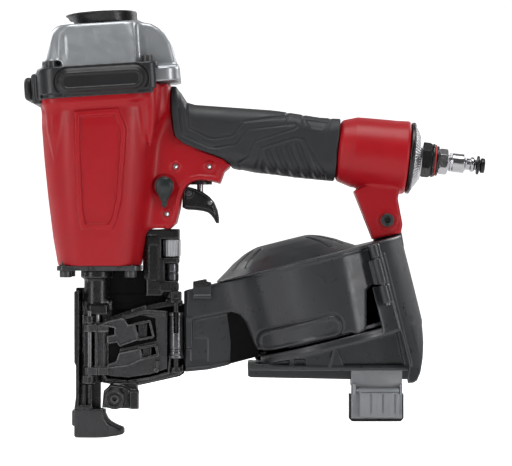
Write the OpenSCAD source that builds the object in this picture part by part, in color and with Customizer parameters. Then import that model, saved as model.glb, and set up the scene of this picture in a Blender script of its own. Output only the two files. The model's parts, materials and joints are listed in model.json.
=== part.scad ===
// Coil-fed pneumatic nail gun, built as separate pieces.
// X runs to the rear, Z runs up, Y runs to the tool's right-hand side.
// The origin is on the driver's axis, at the bottom face of the contact foot.

/* [Head] */
// Inside radius of the cylinder sleeve
sleeve_r = 20; // [18:0.5:20.5]
// Height of the housing's joint with the nose plate
nose_z = 108; // [106:0.5:110]
// Height of the housing's joint with the top cap
cap_z = 219; // [216:0.5:222]
// Slope of the top cap, rising to the rear
cap_tilt = 3.5; // [0:0.5:5]
// Half width of the top cap's foot
cap_half_w = 33; // [31:0.5:35]
// Travel of the piston
piston_stroke = 62; // [50:1:62]
// Radius of the exhaust deflector
deflector_r = 22.9; // [18:0.1:24]

/* [Handle] */
// Half width of the rubber grip
grip_half_w = 18; // [16:0.5:20]
// Thickness of the rubber grip
grip_wall = 3.5; // [2.5:0.5:5]
// Slope of the air inlet, falling to the rear
inlet_tilt = 6; // [0:0.5:8]
// Radius of the rear boss
boss_r = 23; // [22:0.5:24]
// Radius of the air plug's shoulder
plug_r = 6.035; // [5:0.005:7]

/* [Magazine] */
// Slope of the nail canister, rising to the rear
mag_tilt = 14; // [10:0.5:16]
// Outside radius of the nail canister
can_r = 56; // [52:0.5:58]
// Inside height of the nail canister
can_h = 52; // [48:0.5:54]
// Sideways place of the canister's centre
can_y = 6; // [4:0.5:8]
// Wall of the canister
can_wall = 2.5; // [2:0.25:3]

/* [Nose] */
// Radius of the nail channel
channel_r = 4; // [3.5:0.1:4.5]
// Height of the hinge pin's lower end
door_low = 34; // [34:0.5:36]
// Height of the hinge pin's upper end
door_high = 80; // [78:0.5:82]

/* [Hidden] */
$fn = 48;

run_fit = 0.05;
gap = 0.3;
bolt_xy = [[-26, 27], [-26, -27], [34, 27], [34, -27]];
nose_bolt_xy = [[-18.5, 16], [-18.5, -16], [22, 16], [22, -16]];
trigger_axis = [58, 153.5];
lever_axis = [71.3, 147.3];
selector_axis = [43, 158];
rod_axis = [47.2, 0];
rod_r = 2.3;
hinge_axis = [-4, -8.5];
latch_axis = [50.2, -9.6];
valve_x = 65;
feed_axis = [17, 63];
can_x = 154;
can_z = 62;
can_hinge = [32, -49.5];
boss_x = 175;
boss_z = 178;
leg_axis = [182.3, 136.5];
spring_sides = 6;
spring_steps = 12;

// A profile in X and Z, extruded along Y from y0 to y1
module side(y0, y1) {
    translate([0, y1, 0]) rotate([90, 0, 0]) linear_extrude(y1 - y0) children();
}

// A round bar or hole along Y, centred at X and Z
module cross_bar(at, r, y0, y1) {
    side(y0, y1) translate(at) circle(r);
}

// The plane of the top cap's joint
module on_cap() {
    translate([0, 0, cap_z]) rotate([0, -cap_tilt, 0]) children();
}

// The canister's own frame, with its floor at height 0
module on_canister() {
    translate([can_x, can_y, can_z]) rotate([0, -mag_tilt, 0]) children();
}

// The air inlet's own frame, with +Z along its axis to the rear
module on_inlet() {
    translate([boss_x, 0, boss_z]) rotate([0, 90 + inlet_tilt, 0]) children();
}

// A rectangle from x0 to x1, symmetric in Y, with round corners
module round_rect(x0, x1, half, r) {
    translate([x0, -half + r]) square([x1 - x0, 2 * half - 2 * r]);
    translate([x0 + r, -half]) square([x1 - x0 - 2 * r, 2 * half]);
    for (x = [x0 + r, x1 - r], y = [-half + r, half - r]) translate([x, y]) circle(r);
}

// A ring with its lowest face at height 0
module ring(r_in, r_out, h) {
    difference() {
        cylinder(r = r_out, h = h);
        translate([0, 0, -1]) cylinder(r = r_in, h = h + 2);
    }
}

// A part of a disc, between two angles, as a plane shape
module sector(r, from, to) {
    steps = ceil(abs(to - from) / 15);
    polygon(concat([[0, 0]], [for (i = [0 : steps])
        r * [cos(from + (to - from) * i / steps), sin(from + (to - from) * i / steps)]]));
}

// A socket-head screw with its head's seat at height 0 and its shank below
module cap_screw(r, length, head_r, head_h) {
    difference() {
        union() {
            translate([0, 0, -length]) cylinder(r = r, h = length);
            cylinder(r = head_r, h = head_h);
        }
        translate([0, 0, head_h / 2]) cylinder(r = head_r * 0.5, h = head_h, $fn = 6);
    }
}

// A coil spring of round wire, from height 0 to length
module coil(r, wire_r, turns, length) {
    rings = turns * spring_steps + 1;
    rise = (length - 2 * wire_r) / (rings - 1);
    points = [for (i = [0 : rings - 1], j = [0 : spring_sides - 1])
        let (a = 360 * i / spring_steps, b = 360 * j / spring_sides,
            d = r + wire_r * cos(b))
        [d * cos(a), d * sin(a), wire_r + rise * i + wire_r * sin(b)]];
    sides = [for (i = [0 : rings - 2], j = [0 : spring_sides - 1])
        let (k = (j + 1) % spring_sides, a = i * spring_sides, b = a + spring_sides)
        [a + j, a + k, b + k, b + j]];
    first = [for (j = [spring_sides - 1 : -1 : 0]) j];
    last = [for (j = [0 : spring_sides - 1]) (rings - 1) * spring_sides + j];
    polyhedron(points, concat(sides, [first], [last]));
}

// ---------------------------------------------------------------- housing

// The rubber grip's outline in X and Z
module grip_outline() {
    polygon([[47, 219], [57, 210], [118, 204.5], [150.5, 200.3], [151, 161],
        [140, 162], [110, 165.5], [88, 169], [84, 171], [80, 174.5], [65, 180],
        [50, 188], [48.5, 192], [47, 205]]);
}

// A rounded bar from the head to the rear boss, drawn in by 'inset'
module handle_bar(inset) {
    hull() for (s = [[46, 184, 30], [100, 187.3, 20.3], [152, 180.4, 19.6]])
        translate([s[0], 0, s[1]]) rotate([90, 0, 90]) linear_extrude(1)
            offset(r = 9, $fn = 32) offset(delta = -9 - inset)
                square([2 * grip_half_w, 2 * s[2]], center = true);
}

module grip_block() {
    intersection() {
        handle_bar(0);
        side(-grip_half_w - 1, grip_half_w + 1) grip_outline();
    }
}

// The rear web, trigger guard and ledge, in X and Z
module web_outline() {
    polygon([[0, 131], [46, 131], [50, 135], [52, 143], [53, 150], [55, 156],
        [60, 161], [65, 162], [78, 160.5], [84, 170], [84, 200], [57, 206],
        [47, 214], [0, 214]]);
}

module leg_outline() {
    polygon([[161, 160], [161, 156], [173.5, 124.5], [191, 128.5], [192, 134],
        [189, 150], [190, 160]]);
}

module casting() {
    difference() {
        union() {
            difference() {
                translate([2, 0, nose_z]) cylinder(r1 = 26.3, r2 = 36, h = cap_z - nose_z + 6);
                on_cap() translate([-60, -60, -6.3]) cube([140, 120, 40]);
            }
            side(-13, 13) web_outline();
            on_cap() translate([0, 0, -8]) linear_extrude(8) round_rect(-33, 35.5, 34, 12);
            on_cap() translate([0, 0, -14]) linear_extrude(14) round_rect(10, 52, 20, 8);
        }
        on_cap() translate([-60, -60, 0]) cube([140, 120, 30]);
        grip_block();
    }
    intersection() {
        handle_bar(grip_wall);
        translate([44, -40, 140]) cube([110, 80, 80]);
    }
    on_inlet() translate([0, 0, -24]) cylinder(r = boss_r, h = 45);
    side(-12, 12) leg_outline();
    side(-5.5, 5.5) polygon([[53.5, 149], [62, 149], [62, 163], [52, 163]]);
}

module body_housing() {
    color([0.72, 0.14, 0.17]) difference() {
        casting();
        translate([0, 0, nose_z - 1]) cylinder(r = sleeve_r + 2, h = 100);
        translate([0, 0, 200]) cylinder(r = 30, h = 30);
        // Air passage through the handle, and the end cap's seat
        translate([20, 0, 190]) rotate([0, 90 + inlet_tilt / 2, 0]) cylinder(r = 9, h = 150);
        on_inlet() translate([0, 0, -8]) cylinder(r = 17, h = 40);
        // Trigger valve's pocket
        translate([valve_x, 0, 158]) cylinder(r = 7.5, h = 27);
        cross_bar(trigger_axis, 2, -20, 20);
        cross_bar(selector_axis, 3 + run_fit, -20, 20);
        for (at = [[50, 170], [44.5, 140.3], [71, 170]]) cross_bar(at, 1.6, -20, 20);
        translate([rod_axis[0], 0, 120]) cylinder(r = 3.6, h = 30);
        on_cap() for (at = bolt_xy)
            translate([at[0], at[1], -9]) cylinder(r = 2.5, h = 20);
        for (at = nose_bolt_xy) translate([at[0], at[1], nose_z - 1]) cylinder(r = 2.5, h = 11);
        side(-4, 4) polygon([[170, 120], [195, 120], [195, 146], [170, 146]]);
        cross_bar(leg_axis, 2.5, -20, 20);
    }
}

module handle_grip() {
    color([0.26, 0.27, 0.28]) difference() {
        grip_block();
        intersection() {
            handle_bar(grip_wall);
            translate([44, -40, 140]) cube([110, 80, 80]);
        }
        on_inlet() translate([0, 0, -24]) cylinder(r = boss_r, h = 45);
    }
}

// ------------------------------------------------------------------- head

module cylinder_sleeve() {
    color("silver") {
        difference() {
            union() {
                translate([0, 0, nose_z + 2]) cylinder(r = sleeve_r + 2, h = 90);
                translate([0, 0, 200]) cylinder(r = 25, h = 4);
            }
            translate([0, 0, nose_z]) cylinder(r = sleeve_r, h = 100);
            for (z = [nose_z + 8, 196]) translate([0, 0, z]) ring(sleeve_r + 1, 30, 2);
        }
    }
}

module sleeve_seals() {
    color([0.1, 0.1, 0.1]) for (z = [nose_z + 8, 196])
        translate([0, 0, z]) ring(sleeve_r + 1, sleeve_r + 2, 2);
}

module piston_bumper() {
    color([0.12, 0.12, 0.13]) translate([0, 0, nose_z]) {
        ring(6, sleeve_r - 0.3, 14);
        ring(6, sleeve_r + 1.5, 2);
    }
}

module cap_gasket() {
    color([0.15, 0.15, 0.15]) on_cap() difference() {
        linear_extrude(1) round_rect(-33, 35.5, 33, 12);
        translate([0, 0, -2]) cylinder(r = 31, h = 6);
        for (at = bolt_xy) translate([at[0], at[1], -1]) cylinder(r = 3, h = 3);
    }
}

module top_cap() {
    color([0.66, 0.68, 0.7]) on_cap() difference() {
        union() {
            hull() {
                translate([0, 0, 1]) linear_extrude(12) round_rect(-33.2, 35.5, cap_half_w, 12, $fn = 32);
                translate([0, 0, 30]) linear_extrude(1) round_rect(-28.4, 34, 27, 10, $fn = 32);
                translate([0, 0, 39]) linear_extrude(1) round_rect(-22.6, 30, 23, 9, $fn = 32);
            }
            side(-19, 19) polygon([[20, 1], [52.5, 1], [51, 14], [48.7, 26], [42.2, 34],
                [37.4, 37.3], [28, 40], [20, 40]]);
        }
        // Corners that the guard band's ears and the bolts sit in
        for (x = [-40, 27], y = [-40, 20]) translate([x, y, 9.8]) cube([20.5, 20, 40]);
        for (at = bolt_xy) translate([at[0], at[1], 0]) cylinder(r = 3, h = 12);
        cylinder(r = 30, h = 8);
        cylinder(r = 20, h = 18);
        translate([14, 0, 10]) cylinder(r = 5, h = 40);
        translate([6.8, 0, 30]) cylinder(r = 3, h = 20);
    }
}

module guard_band() {
    color([0.27, 0.28, 0.3]) on_cap() difference() {
        union() {
            translate([0, 0, -6]) linear_extrude(19.4) round_rect(-35.4, 38, 37, 13);
            translate([-39, -24, -8]) cube([8, 48, 19]);
        }
        difference() {
            translate([0, 0, -9]) linear_extrude(30) round_rect(-33.2, 60, 34.2, 12);
            for (x = [-40, 27.5], y = [-40, 20.5])
                translate([x, y, 10]) cube([19.7, 19.5, 20]);
        }
        translate([30, -20.3, -20]) cube([60, 40.6, 50]);
        for (at = bolt_xy) translate([at[0], at[1], 0]) cylinder(r = 3, h = 20);
    }
}

module side_pads() {
    color([0.16, 0.16, 0.17]) on_cap() for (s = [-1, 1])
        hull() for (x = [-19, 23.5]) translate([x, s * 37, 3.5]) rotate([-90 * s, 0, 0]) {
            cylinder(r = 8.2, h = 2.5, $fn = 32);
            cylinder(r = 6.5, h = 4, $fn = 32);
        }
}

module front_pad() {
    color([0.16, 0.16, 0.17]) on_cap() hull() {
        translate([-41, -20, -5.5]) cube([2, 40, 14]);
        translate([-45, -16, -2]) cube([2, 32, 8]);
    }
}

module cap_bolts() {
    color([0.12, 0.12, 0.12]) on_cap() for (at = bolt_xy)
        translate([at[0], at[1], 13.4]) cap_screw(2.5, 22, 3.8, 4.2);
}

module exhaust_deflector() {
    color([0.11, 0.11, 0.12]) on_cap() translate([6.8, 0, 40.4]) difference() {
        union() {
            cylinder(r1 = deflector_r - 3, r2 = deflector_r, h = 4);
            translate([0, 0, 4]) cylinder(r = deflector_r, h = 3);
        }
        translate([0, 0, -1]) cylinder(r = 3 + run_fit, h = 9);
        translate([0, 0, 4]) cylinder(r = 7, h = 9);
        // Exhaust channel, open to the front
        difference() {
            translate([-40, -9, -1]) cube([40, 18, 4]);
            cylinder(r = 6, h = 8);
        }
    }
}

module deflector_bolt() {
    color([0.15, 0.15, 0.15]) on_cap() translate([6.8, 0, 44.5]) cap_screw(3, 12, 5.5, 2.5);
}

module head_valve() {
    color([0.85, 0.8, 0.6]) translate([0, 0, 204.3]) {
        ring(sleeve_r - 1, 29.7, 3);
        ring(sleeve_r - 1, sleeve_r + 3, 10);
    }
}

module head_valve_spring() {
    color("silver") translate([0, 0, 214.4]) coil(18, 0.9, 4, 18.5);
}

module piston() {
    color([0.6, 0.6, 0.62]) translate([0, 0, nose_z + 14 + piston_stroke + 2]) difference() {
        cylinder(r = sleeve_r - run_fit, h = 12);
        translate([0, 0, 4]) ring(sleeve_r - 1.5, 30, 3);
        translate([0, 0, 6]) cylinder(r = 13, h = 7);
        translate([0, 0, -1]) cylinder(r = 3, h = 8);
    }
}

module piston_ring() {
    color([0.1, 0.1, 0.1]) translate([0, 0, nose_z + 20 + piston_stroke])
        ring(sleeve_r - 1.5, sleeve_r - run_fit, 3);
}

module driver_blade() {
    color([0.5, 0.5, 0.53]) translate([0, 0, 71]) {
        cylinder(r = 2.6, h = nose_z + 16 + piston_stroke - 71);
        translate([0, 0, nose_z + 16 + piston_stroke - 71]) cylinder(r = 3, h = 6);
    }
}

// ------------------------------------------------------------------- nose

module nose_plate() {
    color([0.62, 0.64, 0.66]) translate([0, 0, nose_z - 3]) difference() {
        linear_extrude(3) round_rect(-24, 28, 22, 5);
        translate([0, 0, -1]) cylinder(r = 3.2, h = 5);
        for (at = nose_bolt_xy) translate([at[0], at[1], -1]) cylinder(r = 2.6, h = 5);
    }
}

module nose_bolts() {
    color([0.12, 0.12, 0.12]) for (at = nose_bolt_xy)
        translate([at[0], at[1], nose_z - 3]) rotate([180, 0, 0]) cap_screw(2.5, 12, 3.8, 4.2);
}

// One knuckle of the feed door's hinge, or the hole through it
module door_knuckle(r, from, to) {
    translate([hinge_axis[0], hinge_axis[1], from]) cylinder(r = r, h = to - from);
}

module nose_housing() {
    color([0.25, 0.26, 0.28]) difference() {
        union() {
            translate([0, 0, 85]) cylinder(r = 8, h = 18);
            translate([0, 0, 99]) cylinder(r = 9.6, h = nose_z - 3 - 99);
            translate([-8.5, -4.5, door_low]) cube([18.5, 13.5, 52]);
            // Back wall of the feed channel
            side(3, 6) polygon([[3, 34], [20, 31], [32, 33.5], [52, 38], [55, 40],
                [55, 84], [42.6, 84], [42.6, 88.8], [31, 88.8], [31, 104.5], [9, 104.5]]);
            // Boss in front of the nose tip
            side(-16, 6) polygon([[10, 27.5], [27, 27.5], [27, 34], [10, 34]]);
            side(-16, -8) polygon([[3, 19], [27, 18.5], [27, 30], [3, 30]]);
            cross_bar([12, 24.8], 6.5, -18, -8);
            for (z = [[door_low, 39], [71.8, 76.5]]) door_knuckle(3.2, z[0], z[1]);
            for (z = [[door_low, 39], [71.8, 76.5]])
                translate([-8.5, -8.5, z[0]]) cube([6, 5, z[1] - z[0]]);
        }
        // Nail channel, its side opening for the nail strip and the driver's bore
        translate([0, 0, 30]) cylinder(r = channel_r, h = 50);
        translate([0, 0, 70]) cylinder(r = 3.2, h = 40);
        translate([-3, -4.6, 30]) cube([14, 7.6, 50]);
        door_knuckle(1.5, door_low - 1, 81);
        // Room for the door's own knuckle and for the feed pawl
        door_knuckle(3.8, 39, 71.8);
        translate([4, -5, 57]) cube([30, 20, 12]);
        cross_bar([12, 24.8], 2.5, -20, 0);
    }
}

module door_hinge_pin() {
    color("silver") door_knuckle(1.5, door_low, door_high);
}

module latch_post() {
    color("silver") {
        translate([latch_axis[0], latch_axis[1], 44]) cylinder(r = 1.8, h = 46);
        translate([latch_axis[0] - 3, latch_axis[1], 41]) cube([6, 3 - latch_axis[1], 3]);
        translate([latch_axis[0], latch_axis[1], 41]) cylinder(r = 3.5, h = 3);
        translate([latch_axis[0], latch_axis[1], 90]) cylinder(r = 3.5, h = 2);
    }
}

module feed_cylinder() {
    color([0.2, 0.2, 0.22]) difference() {
        translate([25, 6, 53]) cube([27, 21, 20]);
        translate([20, feed_axis[0], feed_axis[1]]) rotate([0, 90, 0]) cylinder(r = 7, h = 29);
    }
}

module guide_bracket() {
    color([0.2, 0.2, 0.22]) difference() {
        union() {
            translate([34.5, -9, 125]) cube([17.5, 18, 6]);
            translate([31, -9, 89]) cube([10, 18, 37]);
            translate([34.5, -7, 109.5]) cube([17.5, 14, 3.5]);
            translate([40, 6.2, 109.5]) cube([12, 2.8, 18]);
            // The spring's tube
            translate([rod_axis[0], 0, 97.5]) cylinder(r = 4.2, h = 14);
        }
        translate([rod_axis[0], 0, 90]) cylinder(r = 3.6, h = 19.5);
        translate([rod_axis[0], 0, 100]) cylinder(r = rod_r + gap, h = 40);
    }
}

module trigger_valve_body() {
    color([0.13, 0.13, 0.14]) difference() {
        translate([valve_x, 0, 159]) cylinder(r = 7.5, h = 24);
        translate([valve_x, 0, 150]) cylinder(r = 2 + run_fit, h = 20);
        translate([valve_x, 0, 168]) cylinder(r = 4.25, h = 13);
        cross_bar([71, 170], 1.65, -14, 14);
    }
}

// ---------------------------------------------------------------- trigger

module trigger_pin() {
    color("silver") cross_bar(trigger_axis, 2, -9, 9);
}

module roll_pins() {
    color([0.45, 0.45, 0.47]) for (at = [[50, 170], [44.5, 140.3], [71, 170]])
        difference() {
            cross_bar(at, 1.6, -13, 13);
            cross_bar(at, 1, -14, 14);
        }
}

module trigger_outline() {
    polygon([[54, 144.5], [55, 155], [58, 157.5], [62, 156.5], [67, 155], [71, 152],
        [74, 148.5], [76, 143], [77, 138], [77, 134.5], [75, 134.5], [73.5, 137.5],
        [72, 139.5], [70, 141], [63, 142.5], [56.5, 143], [54, 143.5]]);
}

module trigger() {
    color([0.13, 0.13, 0.14]) difference() {
        side(-8.5, 8.5) trigger_outline();
        side(-6, 6) polygon([[50, 145.5], [70, 144.5], [74, 143], [80, 160], [50, 160]]);
        cross_bar(trigger_axis, 2 + run_fit, -20, 20);
        cross_bar(lever_axis, 1.2, -20, 20);
    }
}

module trigger_lever() {
    color([0.6, 0.6, 0.62]) {
        side(-4, 4) polygon([[63, 147.2], [70, 145.6], [72.5, 145.9], [73, 147.5],
            [71.3, 149], [63, 149]]);
        cross_bar(lever_axis, 1.15, -8.2, 8.2);
    }
}

module valve_stem() {
    color("silver") {
        translate([valve_x, 0, 150.5]) cylinder(r = 2, h = 20);
        translate([valve_x, 0, 168.5]) cylinder(r = 4, h = 2);
    }
}

module valve_spring() {
    color("silver") translate([valve_x, 0, 170.8]) coil(3.4, 0.5, 5, 10);
}

module mode_selector() {
    color([0.2, 0.23, 0.23]) {
        side(-20.4, -14.9) {
            translate(selector_axis) circle(6);
            polygon([[37.1, 157], [40.6, 146.8], [45.4, 146.8], [48.9, 157]]);
            translate([43, 146.8]) circle(2.4);
        }
        cross_bar(selector_axis, 3, -15, 15);
        cross_bar(selector_axis, 4.5, 14.8, 16.5);
    }
}

// ------------------------------------------------------------ air inlet

module end_cap() {
    color([0.62, 0.63, 0.65]) on_inlet() difference() {
        union() {
            translate([0, 0, 21]) cylinder(r = boss_r, h = 2.5);
            translate([0, 0, 23.5]) cylinder(r1 = boss_r, r2 = 12, h = 5);
            translate([0, 0, 8]) cylinder(r = 17, h = 14);
        }
        cylinder(r = 7, h = 40);
        cylinder(r = 13, h = 18);
        translate([0, 0, 26.5]) ring(9.5, 40, 10);
    }
}

module end_cap_ring() {
    color("silver") on_inlet() translate([0, 0, 26.5]) difference() {
        cylinder(r = 13, h = 2);
        translate([0, 0, -1]) cylinder(r = 9.5, h = 4);
        for (a = [0 : 15 : 345]) rotate([0, 0, a]) translate([13, 0, -1]) cylinder(r = 1, h = 4, $fn = 24);
    }
}

module inlet_filter() {
    color([0.75, 0.75, 0.7]) on_inlet() translate([0, 0, 9]) difference() {
        cylinder(r = 12.9, h = 8.8);
        translate([0, 0, 2]) cylinder(r = 11.5, h = 8);
        for (x = [-8 : 4 : 8], y = [-8 : 4 : 8])
            translate([x - 1, y - 1, -1]) cube([2, 2, 4]);
    }
}

module reducer_bushing() {
    color([0.1, 0.1, 0.11]) on_inlet() difference() {
        union() {
            translate([0, 0, 28.5]) cylinder(r = 11.2, h = 7, $fn = 6);
            translate([0, 0, 19]) cylinder(r = 7, h = 10);
        }
        translate([0, 0, 10]) cylinder(r = 5, h = 40);
    }
}

module sealing_washer() {
    color([0.75, 0.1, 0.1]) on_inlet() translate([0, 0, 35.5]) ring(5, 11, 4.5);
}

module air_plug() {
    color([0.75, 0.75, 0.77]) on_inlet() difference() {
        union() {
            translate([0, 0, 28]) cylinder(r = 5, h = 13);
            translate([0, 0, 40]) cylinder(r = 8.5, h = 6.5, $fn = 6);
            translate([0, 0, 46]) cylinder(r = plug_r, h = 11);
            translate([0, 0, 57]) cylinder(r1 = plug_r, r2 = 3.9, h = 1.5);
            translate([0, 0, 58]) cylinder(r = 3.9, h = 6);
            translate([0, 0, 60.5]) cylinder(r = 4.6, h = 2.5);
        }
        translate([0, 0, 20]) cylinder(r = 2.9, h = 50);
    }
}

module dust_cap() {
    color([0.08, 0.08, 0.08]) on_inlet() {
        translate([0, 0, 64.2]) cylinder(r = 6, h = 1.8);
        translate([0, 0, 66]) cylinder(r1 = 4.8, r2 = 4.2, h = 3.6);
        translate([0, 0, 57]) cylinder(r = 2.9 - run_fit, h = 8);
    }
}

module leg_screw() {
    color([0.15, 0.15, 0.15]) translate([leg_axis[0], -12, leg_axis[1]])
        rotate([90, 0, 0]) cap_screw(2.45, 27, 4.2, 3.5);
}

module leg_nut() {
    color("silver") difference() {
        translate([leg_axis[0], 16, leg_axis[1]]) rotate([90, 0, 0]) cylinder(r = 4.6, h = 4, $fn = 6);
        cross_bar(leg_axis, 2.45, 0, 20);
    }
}

// --------------------------------------------------------------- magazine

module canister_wall(from, to, low, high) {
    translate([0, 0, low]) linear_extrude(high - low) difference() {
        intersection() {
            circle(can_r, $fn = 96);
            sector(2 * can_r, from, to);
        }
        circle(can_r - can_wall, $fn = 96);
    }
}

module hinge_knuckle(r, from, to) {
    translate([can_hinge[0], can_hinge[1], from]) cylinder(r = r, h = to - from);
}

// The feed arm's outline in X and Z, between the nose and the canister
module arm_outline(back) {
    polygon([[55.5, 41], [70, 42.5], [80, 45], [back, 48.5], [back, 100.5], [75, 96.5], [55.5, 92]]);
}

module magazine_housing() {
    color([0.27, 0.28, 0.3]) difference() {
        union() {
            on_canister() {
                canister_wall(-52, 188, 0, can_h);
                translate([0, 0, -3]) cylinder(r = can_r, h = 3, $fn = 96);
                cylinder(r = 4, h = 34);
                for (z = [[16, 28], [45, 52]]) hinge_knuckle(3.4, z[0], z[1]);
                for (z = [[16, 28], [45, 52]])
                    translate([can_hinge[0], can_hinge[1], z[0]]) rotate([0, 0, 35])
                        cube([6, 3, z[1] - z[0]]);
            }
            side(3, 6) arm_outline(103);
            side(-5.2, 4.5) polygon([[55.5, 41], [70, 42.5], [80, 45], [106, 51], [106, 53], [80, 47.5],
                [55.5, 43.5]]);
            // Tab in the housing's leg
            side(-3.8, 3.8) polygon([[172, 117], [194, 122], [190, 144], [176, 144]]);
        }
        // Way in for the nail strip
        translate([85, -4.6, 48.5]) cube([30, 7.6, 48]);
        on_canister() hinge_knuckle(1.8, 0, 60);
        on_canister() hinge_knuckle(4, 28, 45);
        // Nothing below the canister's floor
        on_canister() translate([0, 0, -6]) cylinder(r = can_r + 30, h = 3);
        cross_bar(leg_axis, 2.5, -20, 20);
        on_canister() translate([0, 0, 3]) ring(4.15, can_r - can_wall, can_h - 3);
    }
}

module magazine_roof() {
    color([0.24, 0.25, 0.27]) on_canister() difference() {
        union() {
            translate([0, 0, can_h]) cylinder(r = can_r, h = 2.5, $fn = 96);
            translate([-14.5, 0, can_h + 2]) cylinder(r1 = 41, r2 = 39, h = 3);
            translate([-14.5, 0, can_h + 5]) cylinder(r1 = 39, r2 = 22, h = 11.5);
        }
        translate([-14.5, 0, can_h - 1]) cylinder(r = 37, h = 5);
        translate([-14.5, 0, can_h + 3.9]) cylinder(r1 = 37, r2 = 20, h = 10);
        translate([can_hinge[0], can_hinge[1], can_h - 1]) cylinder(r = 5, h = 8);
        rotate([0, mag_tilt, 0]) translate([-can_x, -can_y, -can_z])
            side(-4.2, 4.2) polygon([[171, 110], [195, 115], [195, 146], [172, 146]]);
    }
}

module magazine_base() {
    color([0.25, 0.26, 0.28]) difference() {
        union() {
            side(-10, 22) polygon([[94.5, 43], [200, 43], [200, 75], [94.5, 60]]);
            side(0, 12) polygon([[94.5, 37.5], [96, 36], [200, 36], [200, 43], [94.5, 43]]);
        }
        on_canister() translate([-120, -60, -3]) cube([240, 120, 60]);
        translate([55, -12, 30]) cube([51, 21, 23.5]);
    }
}

module magazine_hinge_pin() {
    color("silver") on_canister() hinge_knuckle(1.75, 15, 53.5);
}

module magazine_cover() {
    color([0.3, 0.31, 0.33]) difference() {
        union() {
            on_canister() {
                canister_wall(194.5, 300, 0.6, can_h - 0.6);
                hinge_knuckle(3.4, 28.4, 44.6);
                translate([can_hinge[0] - 6, can_hinge[1] - 1, 28.4]) cube([6, 3.6, 16.2]);
            }
            side(-9, -5.5) arm_outline(112);
        }
        on_canister() hinge_knuckle(1.75 + run_fit, 0, 60);
        on_canister() translate([0, 0, -2]) linear_extrude(60) circle(can_r - can_wall, $fn = 96);
        on_canister() translate([0, 0, can_h - 0.6]) cylinder(r = 90, h = 30);
        on_canister() translate([-120, -60, -20]) cube([240, 120, 20.6]);
    }
}

module cover_latch() {
    color([0.1, 0.1, 0.1]) {
        side(-12.5, -9.4) polygon([[60.5, 88.5], [72.5, 88.5], [72.5, 98], [68.5, 100], [60.5, 98.5]]);
        translate([60.5, -11, 88.5]) rotate([0, 90, 0]) cylinder(r = 1.6, h = 12);
    }
}

module nail_tray() {
    color([0.55, 0.55, 0.57]) on_canister() translate([0, 0, 3.3]) {
        ring(4 + run_fit, can_r - can_wall - 1.5, 2.5);
        ring(4 + run_fit, 8, 14);
    }
}

// ----------------------------------------------------------- shingle guide

module shingle_guide() {
    color([0.6, 0.62, 0.63]) difference() {
        union() {
            translate([160, -5, 32]) cube([32, 22, 10.7]);
            translate([160, -5, 12]) cube([32, 5, 21]);
            for (x = [161, 190.4]) translate([x, -9, 27]) cube([1.6, 4, 7]);
        }
        translate([150, -7.05, 30]) rotate([0, 90, 0]) cylinder(r = 1.2 + run_fit, h = 50);
        translate([150, -gap / 2, 35.7]) cube([50, 12 + gap, 10]);
    }
}

module guide_shoe() {
    color([0.09, 0.09, 0.09]) side(-5, 4) difference() {
        polygon([[158.5, 12], [160.5, 10], [191, 10], [193, 12], [193, 27.5], [158.5, 27.5]]);
        polygon([[160, 12], [192, 12], [192, 30], [160, 30]]);
    }
}

module guide_lever() {
    color([0.57, 0.59, 0.6]) {
        translate([165, -8.8, 13]) cube([25, 3.5, 17]);
        for (x = [166.5 : 3 : 188]) translate([x, -9.8, 13]) cube([1.4, 1, 17]);
        translate([165, -7.05, 30]) rotate([0, 90, 0]) cylinder(r = 1.75, h = 25);
        translate([161, -7.05, 30]) rotate([0, 90, 0]) cylinder(r = 1.2, h = 31);
    }
}

// -------------------------------------------------------- contact element

module contact_foot() {
    color([0.5, 0.5, 0.52]) difference() {
        union() {
            side(-7.5, 10) polygon([[-14, 1], [-13, 0], [5, 0], [15, 1.2], [17.5, 3],
                [17, 6.5], [15, 8], [10, 10.5], [7, 13], [6, 18], [-14, 18]]);
            translate([-15.5, -6, 7]) cube([2, 14, 10.5]);
        }
        translate([0, 0, -1]) cylinder(r = channel_r, h = 30);
    }
}

module contact_arm() {
    color([0.3, 0.31, 0.33]) {
        // Front plate, side plate and the link to the depth rod
        translate([-14, -7.5, 18]) cube([2.5, 20.5, 74]);
        side(10, 13) polygon([[-14, 4], [2, 4], [2, 84.5], [51, 84.5], [51, 94], [28, 94],
            [28, 90], [16, 90], [16, 94], [-14, 94]]);
        translate([43.5, -4, 84.5]) cube([7.7, 16, 2.7]);
        translate([rod_axis[0], 0, 86]) cylinder(r = 3.5, h = 8);
        translate([rod_axis[0], 0, 94]) cylinder(r = rod_r, h = 34);
    }
}

module contact_spring() {
    color("silver") translate([rod_axis[0], 0, 94.3]) coil(2.9, 0.5, 5, 14.9);
}

module depth_wheel() {
    color([0.7, 0.71, 0.73]) translate([rod_axis[0], 0, 113.5 + gap]) difference() {
        cylinder(r = 5.6, h = 10.5);
        translate([0, 0, -1]) cylinder(r = rod_r + run_fit, h = 20);
        for (a = [0 : 30 : 330]) rotate([0, 0, a]) translate([6, 0, -1]) cylinder(r = 0.9, h = 20, $fn = 24);
    }
}

// -------------------------------------------------------------- feed door

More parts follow.
